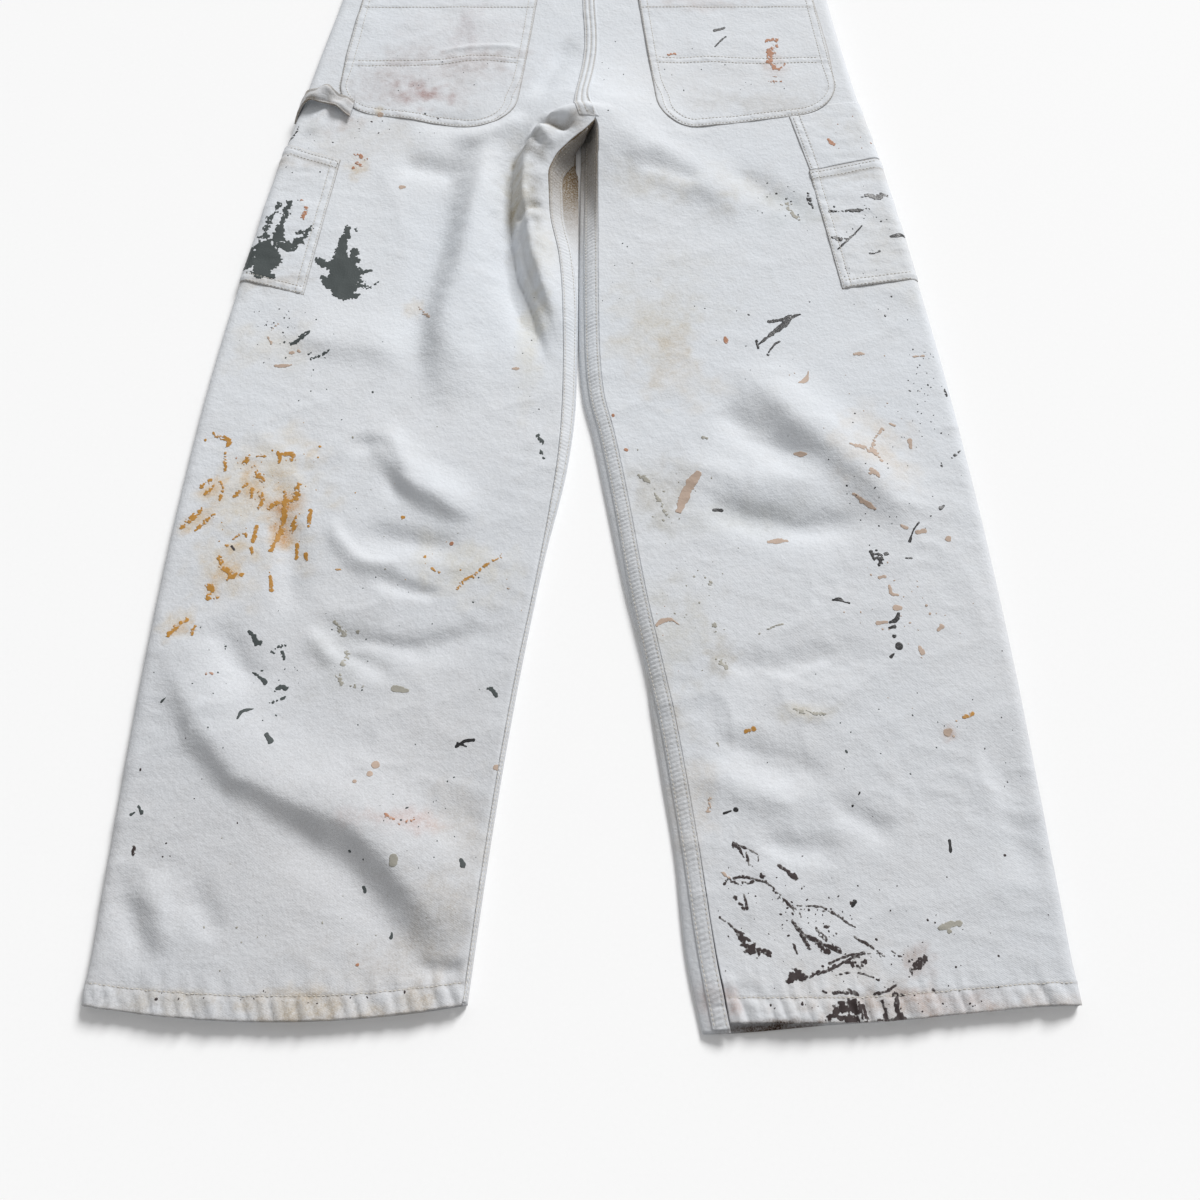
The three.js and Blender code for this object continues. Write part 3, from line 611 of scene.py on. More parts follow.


# ---- Soaked-in stains, and painted shade in hollows ----
# Each wash: centre, reach along X and Y, turn in degrees, colour, strength. Those marked so are painted shade.
WASHES_AND_SHADE = [
    # painted shade inside the right hem's opening
    (136, -14, 52, 7, 0, "#66564a", 1.7),
    # seat pockets and hips
    (-140, 880, 95, 75, 0, "#d6cfcf", 0.28), (-158, 826, 26, 15, 0, "#b48f88", 0.75),
    (-165, 845, 80, 40, 0, "#c9bfbb", 0.4), (-105, 868, 50, 14, 0, "#b5a49c", 0.4),
    (-120, 905, 16, 40, 0, "#bfb3b4", 0.4), (-190, 850, 20, 40, 0, "#c2b6b2", 0.35),
    (140, 850, 90, 45, 0, "#d9d5d1", 0.22), (160, 815, 60, 14, 0, "#c8c1b8", 0.4),
    (110, 940, 50, 12, 0, "#c9b8b0", 0.45), (178, 862, 12, 20, 0, "#c8a088", 0.35),
    # leg pockets
    (-285, 745, 50, 14, 8, "#c9bfb4", 0.55), (-290, 640, 40, 50, 0, "#cfc6bb", 0.3),
    (-275, 612, 40, 8, 0, "#c5b8a8", 0.5), (255, 730, 45, 10, 0, "#cbc4bb", 0.45),
    (270, 640, 50, 60, 0, "#d5d0c8", 0.35), (255, 780, 50, 35, 0, "#d4cfc7", 0.35),
    # painted shade in the trough beside the crotch roll
    (-66, 700, 9, 60, 0, "#b5a98f", 0.7),
    # left thigh
    (-205, 770, 60, 35, 0, "#d6d0c8", 0.4), (-211, 736, 11, 12, 0, "#d8c6ac", 0.75),
    (-196, 805, 5, 6, 0, "#d9c49f", 0.7), (-230, 790, 18, 14, 0, "#cdbfb8", 0.35),
    (-62, 700, 14, 60, 0, "#d2c8b2", 0.4), (-50, 560, 12, 70, 0, "#dcd3bf", 0.45),
    (-150, 585, 10, 10, 40, "#ddc6a2", 0.4), (-275, 545, 40, 30, 0, "#dcd2c0", 0.4),
    (-40, 650, 14, 90, 0, "#d9d2c2", 0.35),
    # left knee and shin
    (-265, 400, 52, 62, 10, "#e2cfae", 0.55), (-246, 383, 14, 34, 0, "#d9b27a", 0.55),
    (-290, 335, 24, 34, 20, "#e3cda8", 0.45), (-320, 290, 18, 14, 30, "#e0c79c", 0.45),
    (-279, 425, 9, 14, 0, "#d9b070", 0.55), (-307, 407, 14, 12, 20, "#dcb67c", 0.5),
    (-274, 404, 14, 11, 0, "#dcb67c", 0.55), (-244, 393, 14, 12, 0, "#d09c52", 0.6),
    (-245, 368, 10, 14, 0, "#d3a258", 0.55), (-316, 378, 15, 8, 35, "#d8b272", 0.6),
    (-286, 333, 13, 10, 0, "#ddb97e", 0.6), (-297, 317, 8, 9, 0, "#d9b070", 0.5),
    (-319, 284, 11, 7, 35, "#d8b070", 0.55), (-280, 352, 8, 12, 0, "#e0c28e", 0.5),
    (-230, 440, 5, 10, 0, "#d9b883", 0.4), (-95, 340, 45, 26, -20, "#e6dcc6", 0.45),
    (-190, 262, 26, 40, 0, "#c9cac8", 0.4), (-135, 133, 30, 10, 0, "#ddb8ac", 0.45),
    (-189, 3, 75, 14, 0, "#cbb48e", 0.62), (-290, 8, 40, 10, 0, "#cfc2ad", 0.45),
    (-110, 60, 34, 40, 0, "#d2ccc4", 0.45), (-90, 120, 25, 60, 0, "#ddd4c8", 0.35),
    (-140, 30, 60, 20, 0, "#d5cdc4", 0.35),
    # right thigh
    (60, 560, 42, 42, 15, "#d8cfc0", 0.6), (78, 520, 40, 30, -40, "#dccfbd", 0.5),
    (190, 690, 34, 24, 0, "#ccd0d0", 0.45), (70, 715, 55, 22, -20, "#d2ccc1", 0.55),
    (160, 705, 60, 20, -30, "#d4cdc2", 0.45), (90, 600, 60, 45, 0, "#d9d4ca", 0.3),
    (60, 405, 26, 40, -20, "#c9c3b8", 0.55), (240, 445, 34, 40, 20, "#e0cfba", 0.45),
    (100, 380, 90, 20, 0, "#d0cfca", 0.45),
    # right shin
    (70, 280, 34, 44, 0, "#d5d0c4", 0.5), (107, 262, 13, 16, 0, "#b9ad96", 0.55),
    (60, 205, 22, 60, 0, "#cdc3b4", 0.4), (80, 150, 20, 40, 0, "#d9cdbd", 0.45),
    (170, 217, 26, 8, 0, "#cfc4ac", 0.5), (185, 25, 45, 22, 10, "#d3c8bc", 0.35),
    (205, 4, 55, 12, 0, "#c4ab99", 0.5), (260, 3, 40, 12, 0, "#ccb4a8", 0.42), (90, 8, 24, 14, 0, "#cbb0a6", 0.55),
    (320, 6, 40, 10, 0, "#cdb9a8", 0.4),
    # painted shade on the top of the crotch, on the roll beside it and inside its hollow
    (-30, 773, 20, 7, 0, "#a89e90", 0.8), (-46, 700, 11, 62, 4, "#b4b2b0", 0.75),
    (-50, 748, 10, 14, 0, "#aaa59e", 0.6), (-6, 742, 12, 34, 0, "#9a8870", 0.6),
    # marks low on the right leg
    (238, 33, 14, 14, 0, "#bca69c", 0.5), (276, 200, 8, 7, 0, "#cba58e", 0.6),
]


def stains_and_shade(x, y, soil=1.0):
    """Red, green and blue shares of the clean cloth's colour.

    One times each wash's colour, as strong as its worn-edged bell, some washes being painted shade in hollows; and
    greyer and warmer towards the hems, a painted shade of the light falling off down the legs.
    """
    x, y = np.asarray(x, float), np.asarray(y, float)
    soil = soil * bpy.context.scene.overalls_cloth.soil
    patchy = 0.5 + 0.5 * noise(x, y, 9, 31)
    fine = 0.5 + 0.5 * noise(x, y, 3.1, 32)
    tint = np.ones((len(x), 3))
    for cx, cy, rx, ry, turn, code, strength in WASHES_AND_SHADE:
        c, s = math.cos(math.radians(turn)), math.sin(math.radians(turn))
        u, v = ((x - cx) * c + (y - cy) * s) / rx, ((y - cy) * c - (x - cx) * s) / ry
        ragged = 0.45 * noise(x, y, max(rx, ry) * 0.35, int(cx + cy) % 997) + 0.3 * noise(x, y, 6, 34)
        inside = 1 - smoothstep(np.hypot(u, v) + ragged, 0.1, 1.3)
        amount = strength * soil * inside * (0.25 + 0.5 * patchy + 0.5 * fine)
        tint *= 1 - np.clip(amount, 0, 1)[:, None] * (1 - linear(code) / linear(CLEAN_CLOTH))
    # Painted shade: darker and warmer towards the hems, more on the left leg, for the light falling off down the
    # legs.
    low = 1 - smoothstep(y, 60, 640)
    low *= 1.1 - 0.38 * smoothstep(x, -60, 60)
    tint *= 1 - low[:, None] * np.array([0.155, 0.17, 0.18])
    cool = 0.5 + 0.5 * noise(x, y, 90, 33)
    tint *= 1 - 0.03 * cool[:, None] * np.array([1.0, 0.5, 0.0])
    tint *= 1 - 0.05 * (patchy * fine)[:, None] * np.array([0.6, 0.8, 1.0])
    return tint


# ---- Grids of the pieces ----
def leg_rows(hem_step, step):
    """Levels along the leg: close together over the hem, then evenly spaced to the waist."""
    hem = np.arange(0, 26, hem_step)
    return np.concatenate([hem, np.linspace(hem[-1] + step, WAIST, int((WAIST - hem[-1]) / step))])


def back_edge(leg, y):
    """X of the back panel's inner edge: the inseam, then the arch over the crotch, then the centre seam."""
    seam = follow(leg["seam"], y) + leg["side"] * INSEAM_GAP
    arch = follow(leg["arch"], y) + leg["side"] * SEAM_GAP / 2
    return np.where(y < SEAM_TOP, seam, arch)


ROLLED = np.array([6.5, 4.2, 2.4, 1.1, 0.3, 0.01])


def back_rows():
    """Levels of the back panels: the leg's, spaced out once past the pockets."""
    y = leg_rows(1.3, 2.6)
    return np.concatenate([y[y < 965], np.linspace(966, WAIST, 26)])


def back_grid(leg):
    """Rows of a back panel from its inner edge to the side seam, closer together where it rolls under."""
    y = back_rows()
    start, end = back_edge(leg, y), follow(leg["outer"], y)
    inner = start[:, None] + (end - leg["side"] * OUTER_ROLL - start)[:, None] * np.linspace(0, 1, 110) ** 1.18
    x = np.concatenate([inner, end[:, None] - leg["side"] * ROLLED], 1)
    y = np.broadcast_to(y[:, None], x.shape)
    z = upper_height(leg, x, y) + hem_ropes(x, y)
    fray = 0.5 * noise(x, y * 0, 8, 24) * smoothstep(2 - y, 0, 2)
    grid = np.stack([x, y + hem_shift(leg, x, y) + fray, z], 2)
    return (grid, x) if leg["side"] > 0 else (grid[:, ::-1], x[:, ::-1])


def front_grid(leg):
    """Front panel: flat on the surface, then turned round the inside leg and up to the inseam and the arch."""
    side = leg["side"]
    y = leg_rows(2.6, 5.2)
    y = np.concatenate([y[y < SEAM_TOP], [SEAM_TOP], SEAM_TOP + np.linspace(0, CROTCH - SEAM_TOP, 14)[1:],
                        np.arange(FRONT_CROTCH, WAIST, 9), [WAIST]])
    level = np.minimum(y, CROTCH)
    foot_y = np.where(y > CROTCH, y, turn_foot(y))
    edge, outer = follow(leg["inner"], foot_y), follow(leg["outer"], foot_y)
    middle = follow(FRONT_SEAM, foot_y) + side * SEAM_GAP / 2
    turn = 1.5
    start = np.where(y <= CROTCH, edge + side * turn, middle)
    flat_x = outer[:, None] + (start - outer)[:, None] * np.linspace(0, 1, 26)
    flat_y = np.broadcast_to(foot_y[:, None], flat_x.shape)
    half = np.where(foot_y < HEM_DEPTH, HEM_CLOTH, CLOTH)[:, None] / 2
    flat_z = np.broadcast_to(half, flat_x.shape)
    angle = np.radians([30, 60, 90])
    bend_x = edge[:, None] + side * turn * (1 - np.sin(angle))
    bend_z = np.broadcast_to(HALF + turn * (1 - np.cos(angle)), bend_x.shape)
    bend_y = np.broadcast_to(foot_y[:, None], bend_x.shape)
    flat_part = np.stack([np.concatenate([flat_x, bend_x], 1),
                          np.concatenate([flat_y, bend_y], 1),
                          np.concatenate([flat_z, bend_z], 1)], 2)
    flat_part[..., 1] += hem_shift(leg, flat_part[..., 0], flat_part[..., 1], True)
    strip = turn_up(leg, level[:, None], np.linspace(0, 1, 16)[None, 1:] ** 1.4)
    points = np.concatenate([flat_part, strip], 1)
    keep = np.ones((len(y) - 1, points.shape[1] - 1), bool)
    keep[y[:-1] >= CROTCH - 0.01, flat_x.shape[1] - 1:] = False
    corrugated = 0.45 * np.sin(2 * np.pi * points[..., 0] / 12.5) * (points[..., 1] < 14)
    over = np.full(points.shape[:2], HALF)
    over[:, :flat_x.shape[1]] = half + corrugated[:, :flat_x.shape[1]]
    under = np.full(points.shape[:2], HALF)
    under[:, :flat_x.shape[1]] = half
    return points, under, over, keep


def seam_valley(away):
    """The trench that a row of stitches pulls into cloth, 1 mm each way."""
    return -0.5 * bell(away, 1.0)


def inseam_fell(name, leg):
    """Felled inseam: a band beside the seam with a ladder of puckers across it, between its two stitch rows."""
    level = np.arange(2, CROTCH - 8, 1.15)
    reach, width = fell_reach(leg, level)
    d = np.linspace(0, 1, 12)
    share = 1 - (width[:, None] * d + 0.05) / np.maximum(reach, NARROWEST_TURN)[:, None]
    points = turn_up(leg, level[:, None], share)
    if leg["side"] > 0:
        points, d = points[:, ::-1], d[::-1]
    out = grid_normals(points)
    out = out * np.where(out[..., 2:].mean() < 0, -1, 1)
    d = d[None, :] * FELL_WIDTH
    ladder = np.sin(2 * np.pi * (level[:, None] + 0.3 * d + 0.8 * noise(d * 0, level[:, None], 17, 41)) / 3.6)
    ladder *= 0.26 * (0.75 + 0.4 * noise(d, level[:, None], 13, 42)) * bell(d - 5.8, 4.6)
    inner_row, outer_row = FELL_ROWS
    top = HALF + 0.95 + 1.7 * ladder + seam_valley(d - inner_row) + seam_valley(d - outer_row)
    top -= 0.15 * bell(d, 0.7) + 0.4 * bell(d - 12, 0.8)
    # Dirt at the seam edge, dirt and painted shade in the stitch trenches, painted shade in the pucker troughs, and
    # painted shade up into the crotch hollow.
    rows = 0.12 * (bell(d - inner_row, 0.9) + bell(d - outer_row, 0.9))
    grime_and_shade = 0.25 * bell(d, 0.8) + rows + 0.2 * np.clip(-ladder * 3, 0, 1)
    grime_and_shade = 0.8 * grime_and_shade + 0.6 * smoothstep(points[..., 1], 640, 735)
    return cloth_wall(f"fell_inseam_{name}", points, HALF * 0.5, top, out=out, soil=0.35, grime_and_shade=grime_and_shade)


def seat_fell():
    """Felled seat seam: a band to the right of its line, flattened by three stitch rows, fanned out at the crotch."""
    level = np.arange(779.5, WAIST, 2.0)
    d = np.linspace(0, 13, 22)[None, :]
    fan = 1 + 0.4 * smoothstep(815 - level, 0, 34)[:, None]
    x = follow(CENTRE_LINE, level)[:, None] + d * fan
    y = np.broadcast_to(level[:, None], x.shape)
    points, out = cloth_face(x, y)
    top = 1.3 + 1.7 * sum(seam_valley(d - row) for row in SEAT_ROWS)
    top = top - 0.6 * bell(d, 0.7) - 0.6 * bell(d - 13, 0.9) + 0.45 * noise(x * 0.4, y, 4, 43) * bell(d - 6, 6)
    top = 0.15 + (top - 0.15) * smoothstep(level, 779, 796)[:, None]
    remember(x, level, lambda u, v: v, points + out * top[..., None], out)
    # Dirt at the band's edge, and dirt with painted shade in its three stitch trenches.
    grime_and_shade = 0.3 * bell(d, 0.8) + 0.35 * sum(bell(d - row, 0.8) for row in SEAT_ROWS)
    return cloth_wall("fell_seat", points, -0.2, top, out=out, grime_and_shade=grime_and_shade)


# ---- Operators ----
class OVERALLS_OT_backs(bpy.types.Operator):
    """Trouser backs: the upper layer of both legs and the seat"""

    bl_idname = "overalls.backs"
    bl_label = "Trouser backs"

    def execute(self, context):
        for name, leg in LEGS.items():
            grid, x = back_grid(leg)
            level = back_rows()
            hem = (HEM_CLOTH - CLOTH) / 2 * (level < HEM_DEPTH)[:, None]
            out = grid_normals(grid)
            remember(x, level, lambda u, v: v, grid + out * (HALF + hem)[..., None], out)
            grime_and_shade = 0.25 * bell(level - HEM_DEPTH + HEM_ROW, 1.4)[:, None] + 0.3 * bell(level, 2.0)[:, None]
            lay_cloth(f"cloth_back_{name}", f"back_{name}", grid, -HALF - hem, HALF + hem,
                      grime_and_shade=grime_and_shade, extras=[seat_fell()] if leg["side"] > 0 else [])
        return {"FINISHED"}


class OVERALLS_OT_fronts(bpy.types.Operator):
    """Trouser fronts: the lower layer, with the turn up to the inseam"""

    bl_idname = "overalls.fronts"
    bl_label = "Trouser fronts"

    def execute(self, context):
        for name, leg in LEGS.items():
            grid, under, over, keep = front_grid(leg)
            if leg["side"] > 0:
                grid, under, over, keep = (v[:, ::-1] for v in (grid, under, over, keep))
            # Painted shade: the cloth darkens into the crotch hollow, less on the right leg.
            shade = 1.0 if leg["side"] < 0 else 0.55
            hollow = smoothstep(grid[..., 1], 625, 735) * (np.abs(grid[..., 0]) < 45) * shade
            lay_cloth(f"cloth_front_{name}", f"front_{name}", grid, -under, over, keep, soil=0.8, grime_and_shade=hollow,
                      extras=[inseam_fell(name, leg)])
        return {"FINISHED"}


def edge_relief(away, x, y):
    """Turned and twice-stitched edge: a trench at each row, a swelling between them, and puckers across."""
    pucker = 0.4 * noise(x, y, 3.8, 51) * bell(away - 5, 5)
    swell = 0.14 * bell(away - 5, 3)
    return 0.6 * (seam_valley(away - 1.9) + seam_valley(away - 8.2)) + swell + pucker - 0.35 * bell(away, 0.6)


def edge_grime(away):
    """Dirt held at a turned edge and in its two stitch rows."""
    return 0.55 * bell(away, 0.6) + 0.06 * bell(away - 1.9, 0.8) + 0.06 * bell(away - 8.2, 0.8)


def sew_on(node, x, y, levels, level_of, relief, grime_and_shade):
    """Lays a patch on the back panel's own face: its lower face just above it, its upper one raised by the relief."""
    points, out = cloth_face(x, y, 2)
    top = CLOTH - 0.15 + relief
    remember(x, levels, level_of, points + out * top[..., None], out)
    return lay_cloth(f"cloth_{node}", node, points, 0.06, top, out=out, grime_and_shade=grime_and_shade, soil=0.85)


def seat_pocket_tilt(x, level):
    """Rise of the seat pocket towards the side seam: full along its lower edge, none along its top."""
    p = SEAT_POCKET
    share = np.clip((p["top"] - level) / (p["top"] - p["bottom"]), 0, 1)
    return p["tilt"] * (np.abs(x) - p["level_at"]) * share


def seat_pocket_level(x, y):
    """The level that a place on the seat pocket had before the tilt."""
    p = SEAT_POCKET
    slope = p["tilt"] * (np.abs(x) - p["level_at"]) / (p["top"] - p["bottom"])
    return (y - slope * p["top"]) / (1 - slope)


class OVERALLS_OT_seat_pockets(bpy.types.Operator):
    """Seat pockets: rounded patches with a deep top hem and a twice-stitched facing line across"""

    bl_idname = "overalls.seat_pockets"
    bl_label = "Seat pockets"

    def execute(self, context):
        for name, leg in LEGS.items():
            p = SEAT_POCKET
            corner = p["bottom"] + p["round"] * (1 - np.cos(np.radians(np.linspace(0, 90, 30))))
            level = np.concatenate([corner, np.arange(corner[-1] + 1.8, p["top"], 1.8), [p["top"]]])
            share = (level - p["bottom"]) / (p["top"] - p["bottom"])
            drop = np.clip(p["round"] - (level - p["bottom"]), 0, None)
            inset = p["round"] - np.sqrt(p["round"] ** 2 - drop ** 2)
            bulge = 6 * np.sin(np.pi * share) ** 2
            start = p["in_bottom"] + (p["in_top"] - p["in_bottom"]) * share + inset
            end = p["out_bottom"] + (p["out_top"] - p["out_bottom"]) * share - inset + bulge * 0.4
            x = leg["side"] * (start[:, None] + (end - start)[:, None] * np.linspace(0, 1, 98))
            flat = np.broadcast_to(level[:, None], x.shape)
            if leg["side"] < 0:
                x = x[:, ::-1]
            y = flat + seat_pocket_tilt(x, flat)
            side_away = np.minimum(np.abs(x) - start[:, None], end[:, None] - np.abs(x))
            round_away = p["round"] - np.hypot(
                np.maximum(p["round"] - side_away - inset[:, None], 0), drop[:, None])
            away = np.where(drop[:, None] > 0, np.minimum(round_away, side_away + inset[:, None]), side_away)
            relief = edge_relief(away, x, y)
            from_top = p["top"] - y
            relief += (0.3 * (1 - smoothstep(from_top, TOP_HEM + 0.5, TOP_HEM + 2.5))
                       + seam_valley(from_top - TOP_HEM) + seam_valley(from_top - 3))
            facing = facing_line(leg, x)
            relief += sum(0.8 * seam_valley(y - facing + below) for below in FACING_ROWS)
            relief += 0.3 * bell(y - facing + 3.2, 2.4) + 0.35 * noise(x, y, 4.4, 53) * bell(y - facing + 3, 7)
            relief += pressed_crease(name, x, y) + 0.5 * noise(x, y, 24, 54)
            grime_and_shade = edge_grime(away) + 0.1 * bell(y - facing, 1.2) + 0.1 * bell(y - facing + FACING_ROWS[1], 1.2)
            grime_and_shade += 0.1 * bell(from_top - TOP_HEM, 1.2)
            sew_on(f"seat_pocket_{name}", x, y, level, seat_pocket_level, relief, grime_and_shade)
        return {"FINISHED"}


def facing_line(leg, x):
    """Level of the upper of the two wavering stitch rows across a seat pocket."""
    return 870 + 4 * noise(x, np.zeros(np.shape(x)), 45, 52) - 0.02 * (leg["side"] * x - 140)


def pressed_crease(name, x, y):
    """The left seat pocket's pressed-up crease above its facing line."""
    if name == "right":
        return 0 * x
    line = 881 + 4 * np.sin((np.abs(x) - 60) / 22)
    return 1.4 * bell(y - line, 2.8) * smoothstep(x, -150, -120) * smoothstep(-62 - x, 0, 14)


def leg_pocket_level(node, x, y):
    """How far up a leg pocket a place is, 0 on its lower edge and 1 on its upper; both edges slope to the side seam.

    The upper rule pocket stops short of the seat pocket's lower edge.
    """
    _, top, bottom, low, high = LEG_POCKETS[node]
    floor = bottom[1] + (low - bottom[1]) * (np.abs(x) - abs(bottom[0])) / (320 - abs(bottom[0]))
    ceiling = top[1] + (high - top[1]) * (np.abs(x) - abs(top[0])) / (290 - abs(top[0]))
    if node == "rule_pocket_upper":
        p = SEAT_POCKET
        corner = np.clip(np.abs(x) - (p["out_bottom"] - p["round"]), 0, p["round"] - 0.5)
        edge = p["bottom"] + p["round"] - np.sqrt(p["round"] ** 2 - corner ** 2)
        ceiling = np.minimum(ceiling, edge + seat_pocket_tilt(x, edge) - 0.6)
    return (y - floor) / (ceiling - floor), floor, ceiling


class OVERALLS_OT_leg_pockets(bpy.types.Operator):
    """Tool pocket and rule pocket: straight-sided patches that end in the side seams"""

    bl_idname = "overalls.leg_pockets"
    bl_label = "Leg pockets"

    def execute(self, context):
        for node, (leg_name, top, bottom, low, high) in LEG_POCKETS.items():
            leg = LEGS[leg_name]
            side = leg["side"]
            tall = top[1] - bottom[1]
            v = np.linspace(0, 1, int(tall / 1.5))[:, None]
            inner = bottom[0] + (top[0] - bottom[0]) * v
            outer = follow(leg["outer"], low + (high - low) * v)
            x = inner + (outer - side * OUTER_ROLL - inner) * np.linspace(0, 1, 62)
            x = np.concatenate([x, outer - side * ROLLED[:-1]], 1)
            if side < 0:
                x = x[:, ::-1]
            _, floor, ceiling = leg_pocket_level(node, x, 0 * x)
            y = floor + (ceiling - floor) * v
            away = np.abs(x - inner)
            from_floor, from_top = y - floor, ceiling - y
            relief, grime_and_shade = edge_relief(away, x, y), edge_grime(away)
            if node != "rule_pocket_upper":
                relief += edge_relief(from_floor, x, y) + 0.5 * (1 - smoothstep(from_top, 10.5, 12))
                relief += seam_valley(from_top - 10) + seam_valley(from_top - 3) - 0.6 * bell(from_top, 0.8)
                grime_and_shade = grime_and_shade + edge_grime(from_floor) + 0.5 * bell(from_top, 1.2) + 0.4 * bell(from_top - 11.5, 1.0)
            relief += 0.5 * noise(x, y, 18, 55) + 0.3 * noise(x, y * 3, 16, 56)
            sew_on(node, x, y, v[:, 0], lambda p, q, n=node: leg_pocket_level(n, p, q)[0], relief, grime_and_shade)
        return {"FINISHED"}


def band(path, width, across, columns):
    """Grid along a path, as wide as given along the across directions, one row for each path point."""
    t = np.linspace(-0.5, 0.5, columns)
    return path[:, None, :] + across[:, None, :] * (t[None, :, None] * width)


class OVERALLS_OT_hammer_loop(bpy.types.Operator):
    """Hammer loop: a narrow stitched band, twisted on the left hip"""

    bl_idname = "overalls.hammer_loop"
    bl_label = "Hammer loop"

    def execute(self, context):
        path = smooth_line(LOOP_PATH, 70)
        share = np.linspace(0, len(LOOP_TURNS) - 1, 70)
        turn = np.radians(follow(list(enumerate(LOOP_TURNS)), share))
        across = np.stack([np.cos(turn), np.sin(turn), 0 * turn], 1)
        grid = band(path, LOOP_WIDTH, across, 22)
        along = np.linspace(0, 1, 70)[:, None]
        t = np.linspace(-1, 1, 22)[None, :]
        slack = np.sin(np.pi * along)
        curl = 2.2 * np.sin(along * 15 + 2.4 * t) + 1.3 * noise(along * 60, t * 8, 9, 63) + 1.2 * (1 - t * t)
        grid[..., 2] += slack * curl
        grid[..., 1] += slack * (1.6 * np.sin(along * 19) + 1.4 * noise(along * 60, t * 5, 8, 64))
        grid[..., 2] = np.maximum(grid[..., 2], 1.4)
        out = grid_normals(grid)
        if out[..., 2].mean() < 0:
            grid, out = grid[:, ::-1], -out[:, ::-1]
        d = (1 - np.abs(t)) * LOOP_WIDTH / 2
        over = LOOP_CLOTH / 2 + seam_valley(d - 2) + 0.3 * bell(d - 5, 3) + 0.15 * noise(along * 80, t * 12, 4, 61)
        blots = np.clip(noise(along * 70, t * 9, 7, 62), 0, 1)
        grime_and_shade = 0.22 + 0.3 * blots + 0.5 * bell(d, 0.8) + 0.3 * bell(d - 2, 0.9)
        lay_cloth("cloth_hammer_loop", "hammer_loop", grid, -LOOP_CLOTH / 2, over, out=out,
                  soil=1.3, grime_and_shade=grime_and_shade)
        return {"FINISHED"}


class OVERALLS_OT_bibs(bpy.types.Operator):
    """Back bib and front bib"""

    bl_idname = "overalls.bibs"
    bl_label = "Bibs"

    def execute(self, context):
        for node, half, top, level in (
            ("back_bib", BACK_BIB_HALF, BACK_BIB_TOP, None),
            ("front_bib", FRONT_BIB_HALF, FRONT_BIB_TOP, 0),
        ):
            y = np.arange(WAIST + SEAM_GAP, top, 4.4)
            y = np.concatenate([y, [top]])[:, None]
            width = follow(half, y)
            t = np.linspace(-1, 1, 90)[None, :]
            x = width * t
            edge = width * (1 - np.abs(t))
            if level is None:
                z = np.full(x.shape, BACK_BIB_HEIGHT) + 0.5 * noise(x, y, 40, 62)
                over, under = CLOTH / 2, -CLOTH / 2
            else:
                z = FRONT_BIB_LIFT * smoothstep(y, 1100, 1330) + HALF + 0 * x
                over, under = CLOTH / 2 + (HEM_CLOTH - CLOTH) * (y > top - 20) + 0 * x, -CLOTH / 2
            grid = np.stack([x, y + 0 * x, z], 2)
            relief = (seam_valley(edge - 2) + seam_valley(edge - 9)
                      + seam_valley(top - y - 2) + seam_valley(top - y - 9))
            relief += 0.15 * noise(x, y, 5, 63)
            lay_cloth(f"cloth_{node}", node, grid, under, over + relief, soil=0.8)
        return {"FINISHED"}


def strap_path(side):
    """Strap from the back bib over the shoulder fold, and round the buckle's bar."""
    half = STRAP_CLOTH / 2
    level = 3.6
    radius = (level - half) / 2
    path = [(36, 1255, 10.8), (44, 1296, 10.8), (52, 1335, 9.8), (60, 1376, 9.2), (68, 1414, 6.2), (76, 1452, level),
            (88, 1510, level), (99, STRAP_TOP, level)]
    for angle in np.radians([45, 90, 135]):
        path.append((99, STRAP_TOP + radius * math.sin(angle), half + radius * (1 + math.cos(angle))))
    bar_level, bar_at = 2.4 + 2 + 0.4 + half, BUCKLE_TOP - 6.5
    radius = (bar_level - half) / 2
    path += [(99, STRAP_TOP, half), (104, 1470, half), (BUCKLE_X, bar_at, half)]
    for angle in np.radians([45, 90, 135]):
        path.append((BUCKLE_X, bar_at - radius * math.sin(angle), half + radius * (1 - math.cos(angle))))
    path += [(BUCKLE_X, bar_at, bar_level), (BUCKLE_X - 1, bar_at + 26, bar_level)]
    return np.array(path) * np.array([side, 1, 1])


class OVERALLS_OT_straps(bpy.types.Operator):
    """Shoulder straps, twice-stitched along both edges"""

    bl_idname = "overalls.straps"
    bl_label = "Straps"

    def execute(self, context):
        for name, leg in LEGS.items():
            corners = strap_path(leg["side"])
            parts = []
            for a, b in zip(corners[:-1], corners[1:]):
                count = max(1, int(np.linalg.norm(b - a) / 3))
                parts.append(a + (b - a) * np.linspace(0, 1, count, endpoint=False)[:, None])
            path = np.concatenate([*parts, corners[-1:]])
            across = np.tile([1.0, 0, 0], (len(path), 1))
            grid = band(path, STRAP_WIDTH, across, 20)
            t = np.abs(np.linspace(-1, 1, 20))[None, :]
            d = (1 - t) * STRAP_WIDTH / 2
            trench = 0.6 * (seam_valley(d - 2) + seam_valley(d - 8))
            lay_cloth(f"cloth_strap_{name}", f"strap_{name}", grid, -STRAP_CLOTH / 2 - trench,
                      STRAP_CLOTH / 2 + trench, soil=0.8)
        return {"FINISHED"}


